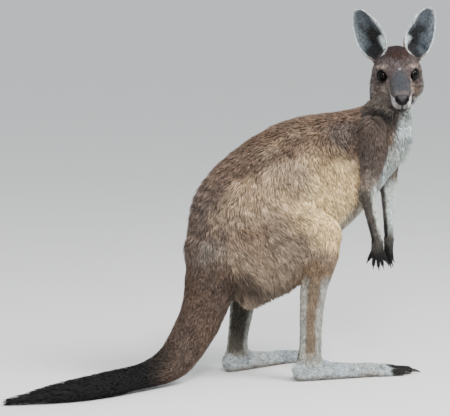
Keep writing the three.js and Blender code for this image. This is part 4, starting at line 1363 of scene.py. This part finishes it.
# Tufts gather towards the nearest of a few leading tufts
leaders = np.flatnonzero(random.random(count) < LEADERS)
tree = KDTree(len(leaders))
for i, leader in enumerate(leaders):
    tree.insert(roots[leader], i)
tree.balance()
nearest_leader = leaders[[tree.find(root)[1] for root in roots]]
same = root_form[nearest_leader] == root_form
pull = (gather * same)[:, None] * (tips[nearest_leader] - tips)
far = np.linalg.norm(pull, axis=1)
pull *= np.minimum(1, 0.5 * length / np.maximum(far, 1e-6))[:, None]
tips += pull
middles += 0.4 * pull
lead_shade = random.normal(size=count)[nearest_leader]
for places in (tips, middles):
    places[:, 2] = np.maximum(places[:, 2], CLEAR_MIDDLE)

# A tuft is a slim three-sided spike with two rings of points and a tip
sideways = unit(np.cross(root_normals, root_way))
rings = []
for places, half, ridge, sink in ((roots, 0.5, 0.3, 0.5), (middles, 0.42, 0.24, 0.0)):
    centre = places - sink * root_normals
    for offset in (-half * sideways, half * sideways, ridge * root_normals):
        rings.append(centre + offset * width[:, None])
tuft_points = np.stack(rings + [tips], 1)
tuft_points[:, :, 2] = np.maximum(tuft_points[:, :, 2], CLEAR_EDGE)
TUFT_FACES = np.array([[0, 2, 1], [0, 1, 4], [0, 4, 3], [1, 2, 5], [1, 5, 4], [2, 0, 3], [2, 3, 5],
                       [3, 4, 6], [4, 5, 6], [5, 3, 6]])
a, b, c = (tuft_points[:, TUFT_FACES[:, k]].reshape(-1, 3) for k in (0, 1, 2))
if dots(a - roots.repeat(len(TUFT_FACES), 0), np.cross(b - a, c - a)).sum() < 0:
    TUFT_FACES = TUFT_FACES[:, ::-1]
TUFT_ALONG = np.array([0, 0, 0, 0.5, 0.5, 0.5, 1])
TUFT_ACROSS = np.array([-1, 1, 0, -0.8, 0.8, 0, 0])
TUFT_POINTS = len(TUFT_ALONG)
PATCH = 0.003  # a tuft's width on the bake map

strand = random.random(count)
# dark and pale hairs mixed, on the head most but not on the sleek muzzle
grizzled = np.where(root_form < HEAD_FORMS_FROM, 1, 2.2)
head_root = (roots - HEAD_PLACE) @ head_axes.T
smooth_face = (head_root[:, 0] > 22) & (0.47 * head_root[:, 0] - 0.88 * head_root[:, 2] > -6)
grizzled[(root_form >= HEAD_FORMS_FROM) & smooth_face] = 0.6
vary = 1 + 0.14 * random.normal(size=count) + 0.19 * lead_shade * grizzled + 0.07 * ripple(roots, 30, 14)
vary *= np.where(strand < 0.16, 0.52, 1) * np.where(strand > 0.9, 1.2, 1)
warm = 0.035 * ripple(roots, 60, 15) + 0.03 * random.normal(size=count)
tuft_tint = root_tint * np.clip(vary, 0.35, 1.6)[:, None] * (1 + warm[:, None] * np.array([1, 0.1, -1]))

patch_place = np.zeros((count, 2))
for i, form in enumerate(all_forms + ears):
    mine = root_form == i
    if mine.any():
        patch_place[mine] = form.unrolled(roots[mine])


def coat_piece(name, slot, chosen):
    """One piece of coat: the chosen tufts, each with its patch of the bake map"""
    picked = np.flatnonzero(chosen)
    number = len(picked)
    faces = (TUFT_FACES[None] + TUFT_POINTS * np.arange(number)[:, None, None]).reshape(-1, 3)
    piece = mesh_object(name, tuft_points[picked].reshape(-1, 3), faces)
    forms = np.unique(root_form[picked])
    tiles = math.ceil(math.sqrt(len(forms)))
    tile = np.searchsorted(forms, root_form[picked])
    corner = np.stack([tile % tiles, tile // tiles], 1)
    place = (corner + 0.03 + 0.94 * patch_place[picked]) / tiles
    spread = np.stack([TUFT_ACROSS / 2, TUFT_ALONG - 0.5], 1) * PATCH
    uv = (place[:, None] + spread[None]).reshape(-1, 2)
    layer = piece.data.uv_layers.new(name="OFBake")
    order = np.empty(len(piece.data.loops), np.int32)
    piece.data.loops.foreach_get("vertex_index", order)
    layer.data.foreach_set("uv", uv[order].astype(np.float32).ravel())
    keep(piece.data, "tint", "FLOAT_COLOR", with_alpha(tuft_tint[picked].repeat(TUFT_POINTS, 0)))
    keep(piece.data, "along", "FLOAT", np.tile(TUFT_ALONG, number))
    keep(piece.data, "across", "FLOAT", np.tile(TUFT_ACROSS, number))
    keep(piece.data, "strand", "FLOAT", strand[picked].repeat(TUFT_POINTS))
    piece.data.shade_smooth()
    piece.data.materials.append(coat_looks[slot])
    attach(piece, "root")


def starting(*words):
    return np.any([np.char.startswith(form_names[root_form], word) for word in words], axis=0)


tail_end = starting("tail") & (roots[:, 0] < -340)
trunk_part = starting("trunk")
for name, look, chosen in [
    ("trunk_right", "grey_brown", trunk_part & (roots[:, 1] < 0)),
    ("trunk_left", "grey_brown", trunk_part & (roots[:, 1] >= 0)),
    ("neck_and_shoulders", "grey_brown", starting("neck", "upper_arm")),
    ("thighs", "grey_brown", starting("thigh")),
    ("tail", "grey_brown", starting("tail") & ~tail_end),
    ("tail_end", "dark", tail_end),
    ("shanks", "pale", starting("shank")),
    ("feet", "pale", starting("foot", "toe")),
    ("forearms", "pale", starting("forearm")),
    ("hands", "dark", starting("hand")),
    ("head", "grey_brown", starting("crown", "cheek", "brow", "jaw")),
    ("muzzle", "grey_brown", starting("muzzle", "lip", "nose")),
    ("ears", "ear", starting("ear")),
]:
    coat_piece("coat_" + name, "coat_" + look, chosen)

# ---- Eyes ----
# Large dark glossy eyeballs with a slightly bulging cornea, each set deep in its
# lids. The iris is a very dark brown ring and the pupil round.
EYE_ROUND = 40
EYE_RINGS = 30


def eye_finish():
    look = Finish("wet_eye", Roughness=0.04, Specular_IOR_Level=0.09)
    place = look.node("CombineXYZ", {}, {"X": look.kept("round") * 9.0, "Y": look.kept("open") * 1.5})
    rays = look.noise(place, 1.4, 3.0)
    edge = look.kept("open") + (rays - 0.5) * 0.05
    colour = look.node("ValToRGB", {"stops": [
        (0.0, (0.001, 0.001, 0.001, 1)), (0.36, (0.001, 0.001, 0.001, 1)), (0.42, (0.005, 0.003, 0.002, 1)),
        (0.66, (0.004, 0.002, 0.001, 1)), (0.74, (0.002, 0.001, 0.001, 1)), (1.0, (0.006, 0.004, 0.003, 1))]},
        {"Fac": edge})
    return look.feed(Base_Color=colour)


wet = eye_finish()
for word, eye, gaze in zip(("left", "right"), eyes, gazes):
    side_axis = unit(np.cross(head_up, gaze))
    up_axis = np.cross(gaze, side_axis)
    tilt = np.linspace(0, np.pi, EYE_RINGS + 1)[1:-1].repeat(EYE_ROUND)
    turn = np.tile(np.arange(EYE_ROUND) * 2 * np.pi / EYE_ROUND, EYE_RINGS - 1)
    bulge = 0.35 * smooth(tilt, 0.95, 0.5)
    radius = EYE_RADIUS - 0.05 + bulge
    ball = (np.cos(tilt)[:, None] * gaze + (np.sin(tilt) * np.cos(turn))[:, None] * side_axis
            + (np.sin(tilt) * np.sin(turn))[:, None] * up_axis) * radius[:, None]
    ends = [gaze * (EYE_RADIUS + 0.3), -gaze * EYE_RADIUS]
    points = eye + np.vstack([ball, ends])
    i = np.arange(len(ball) - EYE_ROUND)
    following = np.where(i % EYE_ROUND == EYE_ROUND - 1, i - EYE_ROUND + 1, i + 1)
    faces = np.stack([i, i + EYE_ROUND, following + EYE_ROUND, following], 1)
    piece = mesh_object("eyeball_" + word, points, faces)
    mesh = piece.data
    build = bmesh.new()
    build.from_mesh(mesh)
    build.verts.ensure_lookup_table()
    for pole, start in ((len(ball), 0), (len(ball) + 1, len(ball) - EYE_ROUND)):
        for j in range(EYE_ROUND):
            build.faces.new([build.verts[k] for k in (pole, start + j, start + (j + 1) % EYE_ROUND)])
    bmesh.ops.recalc_face_normals(build, faces=build.faces)
    build.to_mesh(mesh)
    build.free()
    keep(mesh, "open", "FLOAT", np.concatenate([tilt / 1.3, [0, 2.4]]))
    keep(mesh, "round", "FLOAT", np.concatenate([np.cos(turn), [0, 0]]))
    mesh.shade_smooth()
    mesh.materials.append(wet)
    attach(piece, "root")
    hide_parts("eye_" + word)

# ---- Claws ----
# Black horn, curved, ridged along its length and worn blunt: five on each hand,
# a great one on the long fourth toe, and smaller ones beside it.
CLAW_ROUND = 14
CLAW_RINGS = 16
CLAW_CLEAR = 0.2  # above the floor
HAND_CLAW = (17, 2.9, 5)  # length, radius, and how much is sunk in the finger


def claw_finish():
    look = Finish("black_horn", Specular_IOR_Level=0.5)
    along, turn = look.kept("along"), look.kept("turn")
    ridges = look.noise(look.node("CombineXYZ", {}, {"X": turn * 7.0, "Y": along * 1.2}), 1.6, 4.0)
    place = look.node("TexCoord", {}, {}, "Object")
    dust = look.noise(place, 260.0, 3.0)
    horn = look.node("ValToRGB", {"stops": [
        (0.0, (0.02, 0.014, 0.01, 1)), (0.6, (0.012, 0.009, 0.008, 1)), (1.0, (0.06, 0.045, 0.035, 1))]},
        {"Fac": along})
    colour = look.mixed("MIX", look.between(dust, 0.52, 0.72, 0.0, 0.35) * look.between(along, 0.2, 0.9),
                        horn, (0.16, 0.125, 0.095, 1))
    bump = look.node("Bump", {}, {"Strength": 0.5, "Distance": 0.0004, "Height": ridges}, "Normal")
    return look.feed(Base_Color=colour, Roughness=look.between(ridges, 0.3, 0.7, 0.28, 0.5), Normal=bump)


horn_look = claw_finish()


def claw(length, radius, sunk, root, aim, droop):
    """Rings down one claw, its point at the end, and how far each is along and round"""
    across = unit(np.cross(aim, droop))
    points, along = [], []
    turn = np.arange(CLAW_ROUND) * 2 * np.pi / CLAW_ROUND
    for t in np.linspace(0, 1, CLAW_RINGS):
        centre = root + aim * (-sunk + (length + sunk) * t) + droop * length * 0.3 * t * t
        size = radius * max(1 - 0.86 * t * t, 0.14) * (1 if t < 1 else 0.55)
        keel = 1 + 0.18 * np.sin(turn)
        points.append(centre + np.outer(size * 0.8 * np.cos(turn), across)
                      + np.outer(size * keel * np.sin(turn), np.cross(across, aim)))
        along.append(np.full(CLAW_ROUND, t))
    return np.vstack(points), np.concatenate(along), np.tile(turn, CLAW_RINGS)


def claw_piece(name, claws, nodes):
    """Several claws as one piece"""
    build = bmesh.new()
    alongs, turns = [], []
    for rings, along, turn in claws:
        made = [build.verts.new(point) for point in to_metres(rings)]
        for i in range(0, len(made) - CLAW_ROUND, CLAW_ROUND):
            for j in range(CLAW_ROUND):
                k = (j + 1) % CLAW_ROUND
                build.faces.new([made[n] for n in (i + j, i + k, i + CLAW_ROUND + k, i + CLAW_ROUND + j)])
        build.faces.new(made[:CLAW_ROUND][::-1])
        build.faces.new(made[-CLAW_ROUND:])
        alongs.append(along)
        turns.append(turn)
    bmesh.ops.recalc_face_normals(build, faces=build.faces)
    mesh = bpy.data.meshes.new(name)
    build.to_mesh(mesh)
    build.free()
    keep(mesh, "along", "FLOAT", np.concatenate(alongs))
    keep(mesh, "turn", "FLOAT", np.sin(np.concatenate(turns)))
    mesh.shade_smooth()
    piece = bpy.data.objects.new(name, mesh)
    bpy.context.collection.objects.link(piece)
    mesh.materials.append(horn_look)
    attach(piece, "root")
    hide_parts(*nodes)


for word, arm in zip(("right", "left"), arms):
    claws = []
    for tip, aim in arm.tips:
        curl = -unit(arm.out - aim * (arm.out @ aim))
        claws.append(claw(*HAND_CLAW, tip, aim, curl))
    claw_piece("claws_hand_" + word, claws, [f"hand_claw_{word}_{i}" for i in range(1, 6)])

# name, length, radius, how much is sunk in the toe, place on the foot, and splay in degrees
TOES = [("long", 27, 5.4, 7, 284, 1, 11, 0), ("outer", 20, 4.0, 6, 255, 21, 9.5, 0),
        ("inner_a", 12, 2.2, 4, 239, -13, 9, 2), ("inner_b", 12, 2.2, 4, 239, -19, 9, -2)]
for word, leg in zip(("right", "left"), legs):
    claws = []
    for _, long, thick, sunk, *place, splay in TOES:
        aim = unit(leg.front + leg.left * math.radians(splay))
        rings = claw(long, thick, sunk, leg.at(*place), aim, np.array([0, 0, -1.0]))
        rings[0][:, 2] = np.maximum(rings[0][:, 2], CLAW_CLEAR)
        claws.append(rings)
    claw_piece("claws_foot_" + word, claws, [f"toe_claw_{toe[0]}_{word}" for toe in TOES])

# ---- Ground and light ----
# A plain pale floor under an even pale sky, a broad soft light from high on the
# right, a weaker one from the left, and a small one that shines in the eyes.


def area_light(name, place, target, size, power):
    data = bpy.data.lights.new(name, "AREA")
    data.size = size
    data.energy = power
    light = bpy.data.objects.new(name, data)
    light.location = place
    light.rotation_euler = (Vector(target) - Vector(place)).to_track_quat("-Z", "Y").to_euler()
    bpy.context.collection.objects.link(light)


area_light("key", (2.0, -3.0, 4.2), (0.1, 0, 0.5), 2.4, 440)
area_light("fill", (-3.4, -2.8, 2.6), (0, 0, 0.5), 3.0, 80)
area_light("catch", (-1.35, -3.6, 2.8), (0.48, -0.1, 0.77), 0.8, 200)
world = bpy.data.worlds.new("sky")
bpy.context.scene.world = world
world.use_nodes = True
world.node_tree.nodes["Background"].inputs["Color"].default_value = (0.93, 0.96, 1, 1)
world.node_tree.nodes["Background"].inputs["Strength"].default_value = 1.1

FLOOR = 400  # metres from its middle to each edge
floor_mesh = bpy.data.meshes.new("floor")
floor_mesh.from_pydata([(-FLOOR, -FLOOR, 0), (FLOOR, -FLOOR, 0), (FLOOR, FLOOR, 0), (-FLOOR, FLOOR, 0)],
                       [], [(0, 1, 2, 3)])
floor = bpy.data.objects.new("floor", floor_mesh)
bpy.context.collection.objects.link(floor)
floor_look = Finish("pale_floor", Roughness=0.85)
place = floor_look.node("TexCoord", {}, {}, "Object")
mottle = floor_look.noise(place, 3.0, 4.0)
pale = floor_look.mixed("MIX", mottle, (0.62, 0.615, 0.6, 1), (0.66, 0.655, 0.64, 1))
floor_mesh.materials.append(floor_look.feed(Base_Color=pale))
floor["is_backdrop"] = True

[[list(map(float, corner)) for corner in box] for box in (cad_box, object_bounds())]
